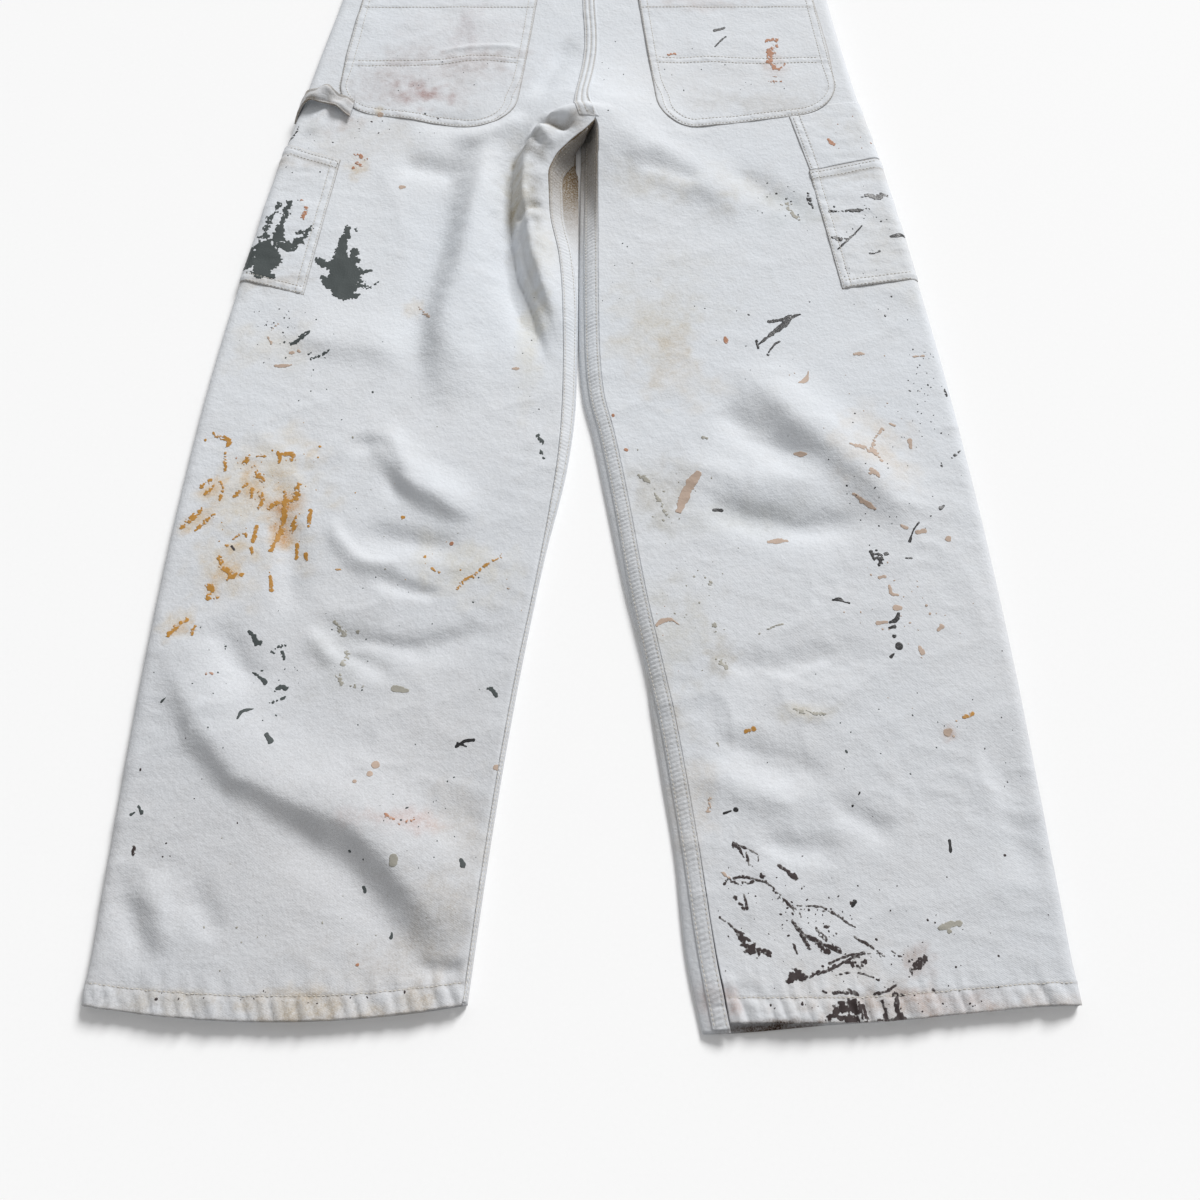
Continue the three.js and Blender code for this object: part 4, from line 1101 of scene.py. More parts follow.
# ---- Stitching ----
def stitch_row(points, normals):
    """Middle, direction and normal of each stitch, at even steps along a row of points."""
    run = np.concatenate([[0], np.cumsum(np.linalg.norm(np.diff(points, axis=0), axis=1))])
    count = max(1, int(run[-1] * MM / bpy.context.scene.overalls_thread.pitch))
    at = (np.arange(count) + 0.5) * run[-1] / count
    middle = np.stack([np.interp(at, run, points[:, k]) for k in range(3)], 1)
    ahead = np.stack([np.interp(at + 0.4, run, points[:, k]) for k in range(3)], 1)
    back = np.stack([np.interp(at - 0.4, run, points[:, k]) for k in range(3)], 1)
    normal = np.stack([np.interp(at, run, normals[:, k]) for k in range(3)], 1)
    along = ahead - back
    along /= np.maximum(np.linalg.norm(along, axis=1, keepdims=True), 1e-9)
    normal -= along * (normal * along).sum(1, keepdims=True)
    normal /= np.maximum(np.linalg.norm(normal, axis=1, keepdims=True), 1e-9)
    return middle, along, normal


def row_on_cloth(line, lift=0.1):
    """A stitch row along a line on the visible face of the cloth."""
    dense = smooth_line(line, max(8, int(np.linalg.norm(np.diff(np.array(line, float), axis=0), axis=1).sum() / 2.5)))
    face, out = cloth_face(dense[:, 0], dense[:, 1])
    return stitch_row(face + out * lift, out)


def sew(name, rows):
    """One mesh of thread: each stitch a six-sided spindle that arches out of the cloth and dives in at both ends."""
    thread = bpy.context.scene.overalls_thread
    half_length, radius = thread.stitch / MM / 2, thread.thickness / MM / 2
    middle, along, normal = (np.concatenate([row[k] for row in rows]) for k in range(3))
    across = np.cross(along, normal)
    count = len(middle)
    wobble = np.random.default_rng(71).normal(0, 0.05, count)[:, None]
    along = along + across * wobble
    ring_angle = np.arange(6) * np.pi / 3
    stations = [(-1.0, -0.28, 0.0), (-0.62, 0.1, 1.0), (0.62, 0.1, 1.0), (1.0, -0.28, 0.0)]
    layers = []
    for place, height, thick in stations:
        centre = middle + along * (half_length * place) + normal * height
        if thick == 0:
            layers.append(centre[:, None, :])
            continue
        ring = across[:, None, :] * (np.cos(ring_angle)[None, :, None] * radius * thick)
        ring = ring + normal[:, None, :] * (np.sin(ring_angle)[None, :, None] * radius * thick)
        layers.append(centre[:, None, :] + ring)
    points = np.concatenate(layers, 1)
    k = np.arange(6)
    n = (k + 1) % 6
    start = np.stack([0 * k, 1 + n, 1 + k], 1)
    end = np.stack([13 + 0 * k, 7 + k, 7 + n], 1)
    side = np.stack([1 + k, 1 + n, 7 + n, 7 + k], 1)
    base = (np.arange(count) * 14)[:, None, None]
    triangles = (np.concatenate([start, end])[None] + base).reshape(-1, 3)
    quads = (side[None] + base).reshape(-1, 4)
    piece = new_object(name, points.reshape(-1, 3), triangles.tolist() + quads.tolist(), "cotton_thread")
    return piece


def turn_up_row(leg, from_seam, start, end, lift):
    """A stitch row on the felled inseam, a set distance from the seam line."""
    level = np.arange(start, end, 2.0)
    reach, width = fell_reach(leg, level)
    share = 1 - (from_seam * width / FELL_WIDTH) / np.maximum(reach, NARROWEST_TURN)
    points = turn_up(leg, level, share)
    ahead = turn_up(leg, level + 0.5, share) - points
    aside = turn_up(leg, level, share + 0.02) - points
    normal = np.cross(ahead, aside)
    normal /= np.maximum(np.linalg.norm(normal, axis=1, keepdims=True), 1e-9)
    normal *= np.where(normal[:, 2:] < 0, -1, 1)
    return stitch_row(points + normal * lift, normal)


class OVERALLS_OT_stitching(bpy.types.Operator):
    """Rows of lockstitch along every hem, felled seam and pocket"""

    bl_idname = "overalls.stitching"
    bl_label = "Stitching"

    def execute(self, context):
        for name, leg in LEGS.items():
            side = leg["side"]
            rows = []
            hem = HEM_DEPTH - HEM_ROW
            start, end = float(back_edge(leg, np.array(hem))), float(follow(leg["outer"], np.array(hem)))
            rows.append(row_on_cloth([(start + side * 2, hem), ((start + end) / 2, hem), (end - side * 4, hem)]))
            for d in FELL_ROWS:
                rows.append(turn_up_row(leg, d, 4, CROTCH - 12, HALF + 0.6))
            p = SEAT_POCKET
            for away in (1.7, 8.2):
                a = np.radians(np.linspace(0, 90, 9))
                r = p["round"] - away
                centre = p["bottom"] + p["round"]
                right = [(p["out_bottom"] - p["round"] + r * math.sin(t), centre - r * math.cos(t)) for t in a]
                left = [(p["in_bottom"] + p["round"] - r * math.sin(t), centre - r * math.cos(t)) for t in a]
                top_in, top_out = p["in_top"] + away + 0.4, p["out_top"] - away + 0.5
                line = [(top_in, p["top"] - 2), (p["in_bottom"] - 7.3 + away, p["bottom"] + 60), *left[::-1], *right,
                        (p["out_bottom"] - 3.9 - away, p["bottom"] + 60), (top_out, p["top"] - 2)]
                line = [(side * u, v + float(seat_pocket_tilt(u, v))) for u, v in line]
                rows.append(row_on_cloth(line))
            for below in FACING_ROWS:
                u = side * np.arange(68, 226, 9.0)
                rows.append(row_on_cloth(np.stack([u, facing_line(leg, u) - below], 1)))
            hem = p["top"] - TOP_HEM
            rows.append(row_on_cloth([(side * (p["in_top"] + 4), hem), (side * (p["out_top"] - 2), hem)]))
            sew(f"stitching_{name}", rows)
        rows = []
        for d in SEAT_ROWS:
            line = []
            for v in np.linspace(783, WAIST - 2, 40):
                fan = 1 + 0.4 * float(smoothstep(815 - v, 0, 34))
                line.append((float(follow(CENTRE_LINE, np.array(v))) + d * fan, v))
            rows.append(row_on_cloth(line))
        for node, (leg_name, top, bottom, low, high) in LEG_POCKETS.items():
            leg = LEGS[leg_name]
            side = leg["side"]
            for d in (1.7, 8.2):
                rows.append(row_on_cloth([(bottom[0] + side * d, bottom[1] + 2), (top[0] + side * d, top[1] - 2)]))
            if node == "rule_pocket_upper":
                continue
            for d, at in ((1.7, 0), (8.2, 0), (3, 1), (10, 1)):
                end = float(follow(leg["outer"], np.array(float((low, high)[at])))) - side * 6
                u = np.linspace((bottom, top)[at][0] + side * 2, end, 12)
                _, floor, ceiling = leg_pocket_level(node, u, 0 * u)
                rows.append(row_on_cloth(np.stack([u, floor + d if at == 0 else ceiling - d], 1)))
        sew("stitching_pockets", rows)
        return {"FINISHED"}


# ---- Paint ----
# Each patch: how ragged its edge is, how dry the brush was, and its strokes, runs of x, y and half width.
PAINT = {
    "slate_emulsion": [
        (2.6, 0.35, [(-216,673,3.2, -219,656,5.5, -221,641,9), (-219,633,13, -216,618,18, -214,607,12),
            (-241,637,2, -234,634,4, -226,630,6), (-208,649,2.2, -209,638,6), (-206,624,5, -192,627,1),
            (-203,612,4, -191,608,1), (-222,601,3.5, -212,598,4, -201,601,2), (-234,619,3, -228,611,6),
            (-210,672,1.6), (-188,612,0.9, -184,615,0.7)]),
        (3, 0.75, [(-270,706,2.2, -274,692,3.6, -277,677,4.5, -279,662,8), (-281,700,1.6, -286,687,2.6, -291,673,3),
            (-289,650,12, -287,639,15, -289,628,12), (-299,645,7, -302,630,6), (-263,706,1.5),
            (-277,656,5, -266,653,6, -257,662,3.6, -249,675,1.8), (-291,621,4.5, -279,621,4),
            (-262,668,2, -254,668,1.2), (-292,664,4, -283,668,3)]),
        (0.8, 0.5, [(-256,549,1.5, -250,553,1.9, -243,560,1, -240,564,0.8), (-250,557,0.9, -241,563,0.9),
            (-262,551,0.8)]),
        (0.8, 1, [(-238,534,1.3, -231,537,1.8, -222,544,0.8), (-240,539,0.8), (-226,535,0.9)]),
        (0.9, 0.4, [(-264,283,1.2, -260,279,2, -257,273,2.6), (-254,273,2.2)]),
        (0.9, 0.9, [(-244,265,2, -241,269,2.2, -235,271,1.6), (-236,266,1.6, -234,260,1.4)]),
        (0.8, 0.3, [(-257,249,1, -251,245,1.5, -247,241,2), (-242,240,0.9)]),
        (0.9, 0.7, [(-238,235,2.2, -234,237,1.8, -230,236,2), (-242,223,1.2, -237,226,0.8, -230,229,1.2)]),
        (0.4, 0.2, [(-252,220,0.3, -258,219,1.2, -263,217,1.9, -265,212,0.8)]),
        (0.6, 0.2, [(-242,199,2, -238,194,2.5)]),
        (0.6, 0.3, [(-333,140,0.8, -336,138,1), (-331,144,1.2, -328,140,1.5)]),
        (0.7, 0.3, [(-90,105,1.4, -88,101,2.2), (-325,225,1, -322,229,1.1)]),
        (0.7, 0.6, [(-72,236,1.8, -68,230,2.2), (-75,236,1)]),
        (1, 1, [(-40,458,2.2, -37,452,2.4), (-38,445,1.4, -35,437,1.2)]),
        (0.8, 0.5, [(-137,53,1.2, -137,50,1.6), (-159,85,1.3, -158,82,1)]),
    ],
    "black_enamel": [
        (0.6, 0.55, [(77,106,1, 81.5,82.5,1.2, 87,67,1), (82,100,0.9, 86,85,0.9), (75,112,1, 78,96,1)]),
        (0.5, 0.1, [(-97,190,1.4, -91,194,1.2, -84,195,1.5), (-96,193,0.9, -89,190,0.8)]),
        (0.5, 0.2, [(124,911,2.2, 131,913,1.6, 134,915,1)]),
        (0.5, 0.3, [(124,890,0.8, 129,897,1.2, 135,903,1)]),
        (0.7, 0.3, [(150,549,0.8, 160,558,1.8, 172,568,3, 181,577,1.8, 188,580,0.8),
            (160,572,2.4, 170,574,1.8, 180,579,1.2)]),
        (0.6, 0.5, [(148,552,1.3, 149,545,1.2), (158,541,0.9, 164,549,1.3, 168,552,0.8), (147,558,0.9)]),
        (1.2, 0.6, [(256,710,1.4, 262,709,3, 268,708,4.2), (270,711,2.2, 275,709,2), (249,709,1.2, 256,708,1.5)]),
        (0.9, 0.8, [(221,692,1.5, 232,692,1.2, 244,693,2, 258,694,1.4)]),
        (0.6, 0.2, [(226,650,0.8, 238,662,1.2, 250,676,0.7)]),
        (1, 0.9, [(222,663,2.2, 230,661,3, 235,661,2)]),
        (0.7, 0.4, [(275,664,1.2, 281,665,2.6, 285,664,1.6), (254,645,1.2, 258,645,0.8, 263,647,1.4)]),
        (1, 1, [(203,713,2, 204,704,2.2, 207,694,1)]),
        (0.6, 0.5, [(183,706,1), (179,709,0.9), (187,703,0.9), (174,712,0.8)]),
        (0.8, 0.7, [(232,350,2, 237,349,1.6, 244,350,2), (234,346,2, 239,345,2.6, 236,340,1.2),
            (231,352,1.6, 233,345,1.4)]),
        (0.5, 0.2, [(248,298,1.4, 246,293,2, 241,291,1.2), (244,287,1.8, 240,286,1)]),
        (0.3, 0, [(246,271,3.7)]),
        (0.5, 0.2, [(243,279,1.7), (239,262,1.8, 241,264,1)]),
        (0.5, 0.3, [(197,310,0.9, 202,310,2, 206,308,0.9, 210,307,1)]),
        (0.5, 0.2, [(291,391,2.2, 294,393,1.3), (105,389,1.8, 111,389,1.9)]),
        (0.4, 0.2, [(272,378,0.7, 267,371,0.6, 263,361,1.4), (263,346,0.6, 258,346,0.7)]),
        (0.5, 0.3, [(269,119,1.5, 269,111,1.2), (196,75,1.9, 194,72,1.4)]),
        (0.4, 0.1, [(113,142,2.2), (104,139,1.2, 109,141,0.6), (200,145,1.2), (205,153,0.9, 206,155,0.7)]),
        (1.2, 1, [(-290,752,1.2, -284,762,1.4, -276,778,1.2, -272,790,1.3)]),
        (0.8, 0.9, [(306,503,1.4, 308,492,1.2), (305,437,0.9, 313,444,1.4), (296,430,1.6), (290,425,0.9)]),
    ],
    "brown_black_stain": [
        (1.6, 0.55, [(172,-5,2.5, 178,1,5, 186,3,5.5, 194,0,5, 199,-5,2), (180,-5,4, 192,-5,4)]),
        (0.9, 0.3, [(210,7,1.4, 212,0,2, 211,-5,3), (221,10,1.4, 220,2,1.8, 221,-5,3), (206,-6,1.5, 225,-5,1.5)]),
        (1.4, 0.5, [(86,20,2.2, 91,16,4, 95,12,3)]),
        (0.9, 0.4, [(98,2,1.4, 100,-1,1.8), (176,12,0.8, 190,13,1.4, 193,12,1)]),
        (0.7, 0.2, [(205,12,0.5, 212,13,1.2, 220,17,0.7), (218,11,1.4, 225,11,1.4), (246,14,1.6)]),
        (1.2, 0.7, [(232,25,1.8, 236,31,4.5, 243,36,3), (233,34,3)]),
        (1, 0.3, [(145,20,2.4, 151,24,4.6, 157,22,2)]),
        (1.4, 0.8, [(110,54,2.4, 116,46,5, 122,41,4.5), (126,42,1.6, 133,38,1.6)]),
        (0.6, 0.5, [(98,64,1.1, 104,60,0.9, 109,55,1.2)]),
        (0.6, 0.4, [(142,101,0.9, 148,97,1.6, 154,92,2.6), (194,74,2)]),
        (0.7, 0.5, [(158,14,1, 170,13,0.7, 184,12,1)]),
        (0.7, 0.3, [(-330,115,1.4, -330,109,1.8), (-286,356,0.9, -283,353,0.7)]),
        (0.8, 0.9, [(159,23,0.6, 173,29,1, 184,33,1.4, 199,38,1.6)]),
        (0.7, 0.9, [(129,94,1.6, 137,85,1.9, 145,76,1.2, 153,69,1.7, 156,64,0.9)]),
        (0.7, 1, [(156,70,0.9, 166,69,0.8, 178,68,1.1, 188,62,0.9, 195,57,0.8)]),
        (0.7, 0.9, [(150,62,1, 156,52,1.6, 161,43,1.6), (162,60,1, 170,52,1.7, 178,44,1.6, 185,39,1.5)]),
        (0.8, 1, [(166,46,2, 174,40,2.4), (170,57,1.4, 178,58,1.2)]),
        (0.5, 0.3, [(154,72,0.8, 172,71,0.8, 184,64,0.8, 195,56,0.8),
            (150,61,0.8, 158,52.5,1.3, 170.5,46,1.7, 183,40,1.5), (157,50,0.9, 160,43,1.1),
            (160,22.5,0.9, 177,29,0.8, 187,34,1, 200,40,0.8)]),
        (0.5, 0.3, [(174,32,0.8, 190,38,0.9, 205,39,0.7), (194,50,0.8, 203,45,0.8, 214,37,0.9),
            (110,117,0.8, 120,113,0.9, 129,108,0.8), (119,111,0.9, 121,100,0.8), (105,91,0.8, 117,92.5,1, 132,89,0.8),
            (116,80,0.9, 118,70,0.9), (150,46,0.9, 152,39,0.8)]),
        (0.4, 0.5, [(179,24.5,0.8, 194,26,0.8, 209,21,0.8), (166,57,0.8, 173,51,0.8, 181,52.5,0.8)]),
        (0.8, 1.05, [(188,32,2.7, 196,31,2.3, 204,36,1.4), (202,47,0.9, 212,36,0.9)]),
        (0.6, 1, [(108,118,1.6, 113,113,2, 118,106,1.4, 123,101,1.2), (112,117,0.8, 127,109,0.8, 128,104,0.8)]),
        (0.7, 1.1, [(105,90,1.5, 113,88,2, 123,89,1.6), (110,78,1.6, 116,70,1.5)]),
        (0.7, 1.1, [(-275,566,1.4), (-271,545,1.2), (228,34,0.7, 220,40,0.6, 214,42,0.6)]),
    ],
    "rust_primer": [
        (1.2, 0.55, [(-216,758,1.2, -211,756,2.4, -206,752,1.6), (-213,748,1.8, -210,745,1.8), (-217,742,1.2)]),
        (0.9, 0.6, [(-256,696,1.8, -258,686,1.9, -257,681,1.3), (-262,704,1.2)]),
        (1.6, 0.85, [(176,898,2.6, 184,898,2.2, 184,890,2), (178,886,3.6, 177,872,3.8, 180,864,2.8),
            (184,861,1.6, 190,868,1.3)]),
        (0.8, 0.8, [(172,846,0.9, 186,846,1.4), (176,852,0.8, 184,852,0.8)]),
        (0.7, 0.3, [(226,775,1.2, 228,772,2, 231,769,1)]),
        (0.7, 0.4, [(121,556,1.4, 122,551,1.8), (78,880,1, 85,881,1.4)]),
        (1, 0.6, [(66,209,2.2, 68,203,2.4), (81,118,1.2, 82,112,1.6)]),
        (0.9, 1.3, [(-147,138,0.8, -141,135,1.2), (-139,139,0.7, -135,136,1), (-131,133,0.7, -126,135,0.6),
            (-137,131,0.6)]),
        (0.3, 0, [(-108,359,1.8)]),
        (0.4, 0.1, [(12,472,1.9), (23,478,1.3), (34,445,1.5), (-160,31,1.3)]),
        (0.5, 0.4, [(-293,248,1, -289,248,1.2), (-291,437,0.6)]),
    ],
    "tan_emulsion": [
        (1, 0.15, [(77,389,3.4, 80,397,4.4, 86,412,4.4, 93,422,3.6)]),
        (0.7, 0.15, [(149,360,1.4, 156,361,3, 163,361,1.6)]),
        (0.5, 0.1, [(182,510,1, 187,512,2.6, 190,517,1.6, 191,522,0.6)]),
        (0.5, 0.1, [(175,441,1.6, 180,441,3, 184,441,1.4)]),
        (1.4, 0.8, [(222,451,2.2, 230,448,2.8, 240,444,3.4, 246,436,2.4), (240,447,2.2, 243,456,1.4, 250,465,1.2),
            (237,426,3.2, 242,421,2)]),
        (0.6, 0.3, [(256,470,1, 260,468,1.4), (272,454,2.6, 272,447,1.4)]),
        (0.9, 0.3, [(221,404,1.4, 228,398,2.2, 235,392,1.6, 239,389,0.8)]),
        (0.7, 0.2, [(258,375,1.8, 262,373,1.6), (270,369,2, 276,370,2.2), (294,363,3.1)]),
        (0.6, 0.4, [(235,329,1.1, 240,330,1.4), (243,322,1.4, 244,315,1.6, 249,314,1.2)]),
        (0.7, 0.2, [(246,303,3, 250,303,2.4), (271,305,1.6), (273,298,1.2), (281,287,2.4, 278,284,1.2)]),
        (0.6, 0.3, [(262,270,1.6, 264,265,2), (231,290,2.2, 238,291,1.4)]),
        (0.6, 0.2, [(57,289,1.8, 62,292,2.6, 68,293,1.6, 74,289,0.8)]),
        (0.6, 0.1, [(276,201,3.6, 279,203,2), (281,198,0.8)]),
        (0.3, 0, [(-157,176,3.6), (-161,169,2.7), (-172,163,1.9)]),
        (0.5, 0.3, [(-66,174,2.6), (-196,805,3), (-171,719,2.6, -168,719,1.6)]),
        (1, 0.8, [(-149,588,1, -143,582,1.9, -137,577,1.6), (-208,590,0.9, -203,592,0.8)]),
        (0.9, 0.7, [(-275,563,1, -270,569,1.3), (-273,549,1.2, -277,556,1), (-268,527,1.4, -260,527,1.8, -254,528,1),
            (-256,540,1.2, -248,542,1)]),
        (0.7, 0.5, [(240,539,1.8, 232,539,1.6), (282,536,0.8, 292,537,1.2)]),
        (0.8, 0.8, [(-61,320,2.2), (-64,524,1.2, -58,524,1.6), (94,150,2, 92,140,2.4), (101,96,1.8, 106,92,1.2)]),
    ],
    "ochre_scumble": [
        (1.3, 0.55, [(-254,352,1.6, -248,368,2.4, -246,379,3.2, -247,391,2.8, -248,405,1.8),
            (-237,411,2.2, -239,400,3.4, -246,396,3), (-260,390,2, -252,396,2.2), (-236,383,2.2, -238,371,2)]),
        (0.8, 0.4, [(-225,388,1.5, -225,375,1.4)]),
        (0.9, 0.4, [(-256,442,1.6, -255,433,1.8), (-253,441,1.4, -245,441,1.6, -245,435,1.6), (-249,435,1)]),
        (1.1, 0.7, [(-281,438,2.4, -285,429,1.8), (-276,428,2, -271,421,3.6, -268,417,2.4),
            (-273,440,1.6, -268,439,1.8)]),
        (0.9, 0.6, [(-288,402,1.2, -284,408,2, -280,412,1.8), (-275,408,1.8, -275,401,1.6),
            (-268,406,1.8, -265,398,1.6, -268,391,1.2)]),
        (1, 0.8, [(-317,411,1.4, -310,416,2), (-312,404,2, -304,414,1.6, -299,410,1.2, -300,398,1.4)]),
        (1.1, 0.8, [(-329,372,1.8, -322,381,3, -315,389,1.8), (-317,371,1.8, -310,379,1.8, -304,384,1.6)]),
        (0.9, 0.6, [(-313,461,1, -307,456,1.5, -299,455,2.2, -300,448,1.6), (-320,454,1.5)]),
        (0.7, 1, [(-301,442,1, -300,434,1.2, -299,425,1)]),
        (0.7, 0.4, [(-267,374,1.5, -269,361,1.4), (-270,355,0.9, -269,350,0.9), (-290,357,1.4)]),
        (0.7, 0.9, [(-285,363,1, -278,368,1.4, -274,365,0.9)]),
        (0.6, 0.4, [(-233,358,1.3, -232,346,1.3), (-225,350,1, -224,344,1.3)]),
        (1, 0.8, [(-287,325,1.6, -283,330,3, -279,332,1.6), (-300,321,3, -297,316,2.6, -300,311,1.2, -292,312,1.4)]),
        (0.8, 1.1, [(-295,347,1.4, -291,338,2.4, -284,333,2.2)]),
        (0.6, 0.4, [(-253,333,0.9, -251,326,1.2, -250,319,1.9), (-275,332,1.8)]),
        (0.9, 0.6, [(-327,280,1.8, -321,287,2.6, -315,293,2.4), (-309,280,1.2, -307,287,1.8)]),
        (0.6, 0.6, [(-129,347,1.2), (-125,340,0.8, -122,336,1, -117,334,1)]),
        (0.7, 0.6, [(-101,320,1.3, -96,327,1.2, -90,330,1.3, -84,336,1.2, -78,341,0.9, -68,347,0.9)]),
        (0.5, 0.4, [(-149,382,1.6), (-202,337,0.8, -196,336,1), (-222,448,1), (-223,437,1)]),
        (0.5, 0.2, [(123,202,1.6), (129,204,1.8), (126,203,1)]),
        (0.5, 0.3, [(290,213,1, 297,216,1.4), (284,210,0.8)]),
    ],
    "grey_undercoat": [
        (0.4, 0.1, [(-139,106,3.4, -139,103,3.4)]),
        (0.9, 1, [(-197,290,2.2, -190,282,3.4), (-185,264,3, -188,256,2.4), (-190,247,2.6, -188,240,2.2),
            (-181,238,1.6, -172,238,2), (-178,283,2)]),
        (0.6, 0.2, [(-147,236,2.6, -141,235,2.6, -136,234,0.9)]),
        (0.9, 0.9, [(184,695,2.2, 188,688,2.2, 193,683,1.6), (178,700,1.6, 186,700,1.4)]),
        (0.4, 0.6, [(137,281,0.5, 146,286,0.8, 158,290,0.5)]),
        (0.5, 0.4, [(256,57,2.2, 263,59,2.4, 270,60,2.2), (262,54,1.6)]),
        (0.8, 0.9, [(161,219,1.4, 170,217,1.8, 184,215,1.6), (99,457,1.9, 102,456,1.2)]),
        (0.9, 0.7, [(107,262,0.8, 107,257,3, 110,253,2.4), (102,288,2), (101,192,2.2)]),
        (1.2, 1.1, [(45,420,3.4, 51,416,4.2), (57,404,2, 64,390,1.4, 70,377,1.2)]),
        (0.9, 1.1, [(100,324,1.8), (88,329,2.4), (80,322,1.6)]),
    ],
}
# How much drier each paint went on than its patches say, and how much broader its strokes.
PAINT_DRYNESS = {"ochre_scumble": (0.31, 0.6), "brown_black_stain": (0.3, 0.05), "rust_primer": (0.3, 0.4),
                 "grey_undercoat": (0.25, 0.3), "tan_emulsion": (0.1, 0.0), "slate_emulsion": (0.05, 0.0)}


def paint_patch(ragged, dry, strokes, seed, cell=0.62):
    """Closed skin over the part of a lattice where the brush touched, and how thick the paint is at each point.

    Cover is the most that any stroke's half width exceeds the distance from it, with noise to fray its
    edge; a dry brush also misses the hollows of a finer noise. Lattice points beside the zero line slide
    on to it along the slope of the cover.
    """
    spots = np.array([p for stroke in strokes for p in stroke], float)
    margin = spots[:, 2].max() + ragged + 1.5
    low, high = spots[:, :2].min(0) - margin, spots[:, :2].max(0) + margin
    x, y = np.meshgrid(np.arange(low[0], high[0], cell), np.arange(low[1], high[1], cell))
    cover = np.full(x.size, -9.0)
    for stroke in strokes:
        stroke = np.array(stroke, float)
        dense = smooth_line(stroke, 5 * len(stroke)) if len(stroke) > 2 else stroke
        away, share = off_line(x.ravel(), y.ravel(), dense[:, :2])
        width = np.interp(share, np.linspace(0, 1, len(dense)), dense[:, 2])
        cover = np.maximum(cover, width * 0.86 - np.abs(away))
    cover = cover.reshape(x.shape)
    cover = cover + ragged * (0.6 * noise(x, y, 3.6, seed) + 0.5 * noise(x, y, 1.3, seed + 1))
    grain = 0.5 + 0.5 * noise(x + 0.4 * y, y, 1.25, seed + 2) + 0.3 * noise(x, y, 3.1, seed + 3)
    cover = np.minimum(cover, 1.5 + 0.5 * np.clip(cover, 0, 4) - dry * 3.6 * grain)
    keep = (cover[:-1, :-1] + cover[1:, :-1] + cover[:-1, 1:] + cover[1:, 1:]) > 0
    for _ in range(3):
        cross = keep[:-1, :-1] & keep[1:, 1:] & ~keep[1:, :-1] & ~keep[:-1, 1:]
        keep[1:, :-1] |= cross
        cross = keep[1:, :-1] & keep[:-1, 1:] & ~keep[:-1, :-1] & ~keep[1:, 1:]
        keep[:-1, :-1] |= cross
    if not keep.any():
        return None
    gy, gx = np.gradient(cover, cell)
    steep = gx ** 2 + gy ** 2 + 0.05
    limit = 0.42 * cell
    slide = np.abs(cover) < 1.2
    x = x - np.clip(cover * gx / steep, -limit, limit) * slide
    y = y - np.clip(cover * gy / steep, -limit, limit) * slide
    face, out = cloth_face(x, y)
    skin, quads, source = shell_mesh(face, out, -0.3, 0.13, keep)
    thick = np.clip(0.45 + 0.5 * cover - 0.25 * dry * noise(x, y, 2.2, seed + 4), 0.1, 1).ravel()[source]
    return skin, quads, thick


def droplets(spots, rise):
    """Closed domes: a seven-sided rim sunk in the cloth, a smaller ring above it and a middle point."""
    spots = np.asarray(spots, float)
    angle = np.arange(7) * 2 * np.pi / 7
    rng = np.random.default_rng(81)
    stretch = rng.uniform(0.7, 1.3, (len(spots), 1))
    turn = rng.uniform(0, np.pi, (len(spots), 1))

    def ring(scale, lift):
        u, v = np.cos(angle) * spots[:, 2:] * scale * stretch, np.sin(angle) * spots[:, 2:] * scale / stretch
        x = spots[:, :1] + u * np.cos(turn) - v * np.sin(turn)
        y = spots[:, 1:2] + u * np.sin(turn) + v * np.cos(turn)
        return on_cloth(x, y, lift)

    layers = [on_cloth(spots[:, :1], spots[:, 1:2], -0.4), ring(1.0, -0.3), ring(1.0, 0.08), ring(0.55, rise * 0.6),
              on_cloth(spots[:, :1], spots[:, 1:2], rise * 0.7)]
    points = np.concatenate(layers, 1)
    k = np.arange(7)
    n = (k + 1) % 7
    triangles = np.concatenate([np.stack([0 * k, 1 + n, 1 + k], 1), np.stack([22 + 0 * k, 15 + k, 15 + n], 1)])
    quads = np.concatenate([np.stack([1 + k, 1 + n, 8 + n, 8 + k], 1), np.stack([8 + k, 8 + n, 15 + n, 15 + k], 1)])
    base = (np.arange(len(spots)) * 23)[:, None, None]
    faces = (triangles[None] + base).reshape(-1, 3).tolist() + (quads[None] + base).reshape(-1, 4).tolist()
    return points.reshape(-1, 3), faces


# Drops: logarithm of their usual radius and its spread, least and greatest radius, and distance from an inseam.
DROP_SIZE = -0.7
DROP_SPREAD = 0.38
DROP_LIMITS = (0.28, 1.4)
DROP_INSET = 3
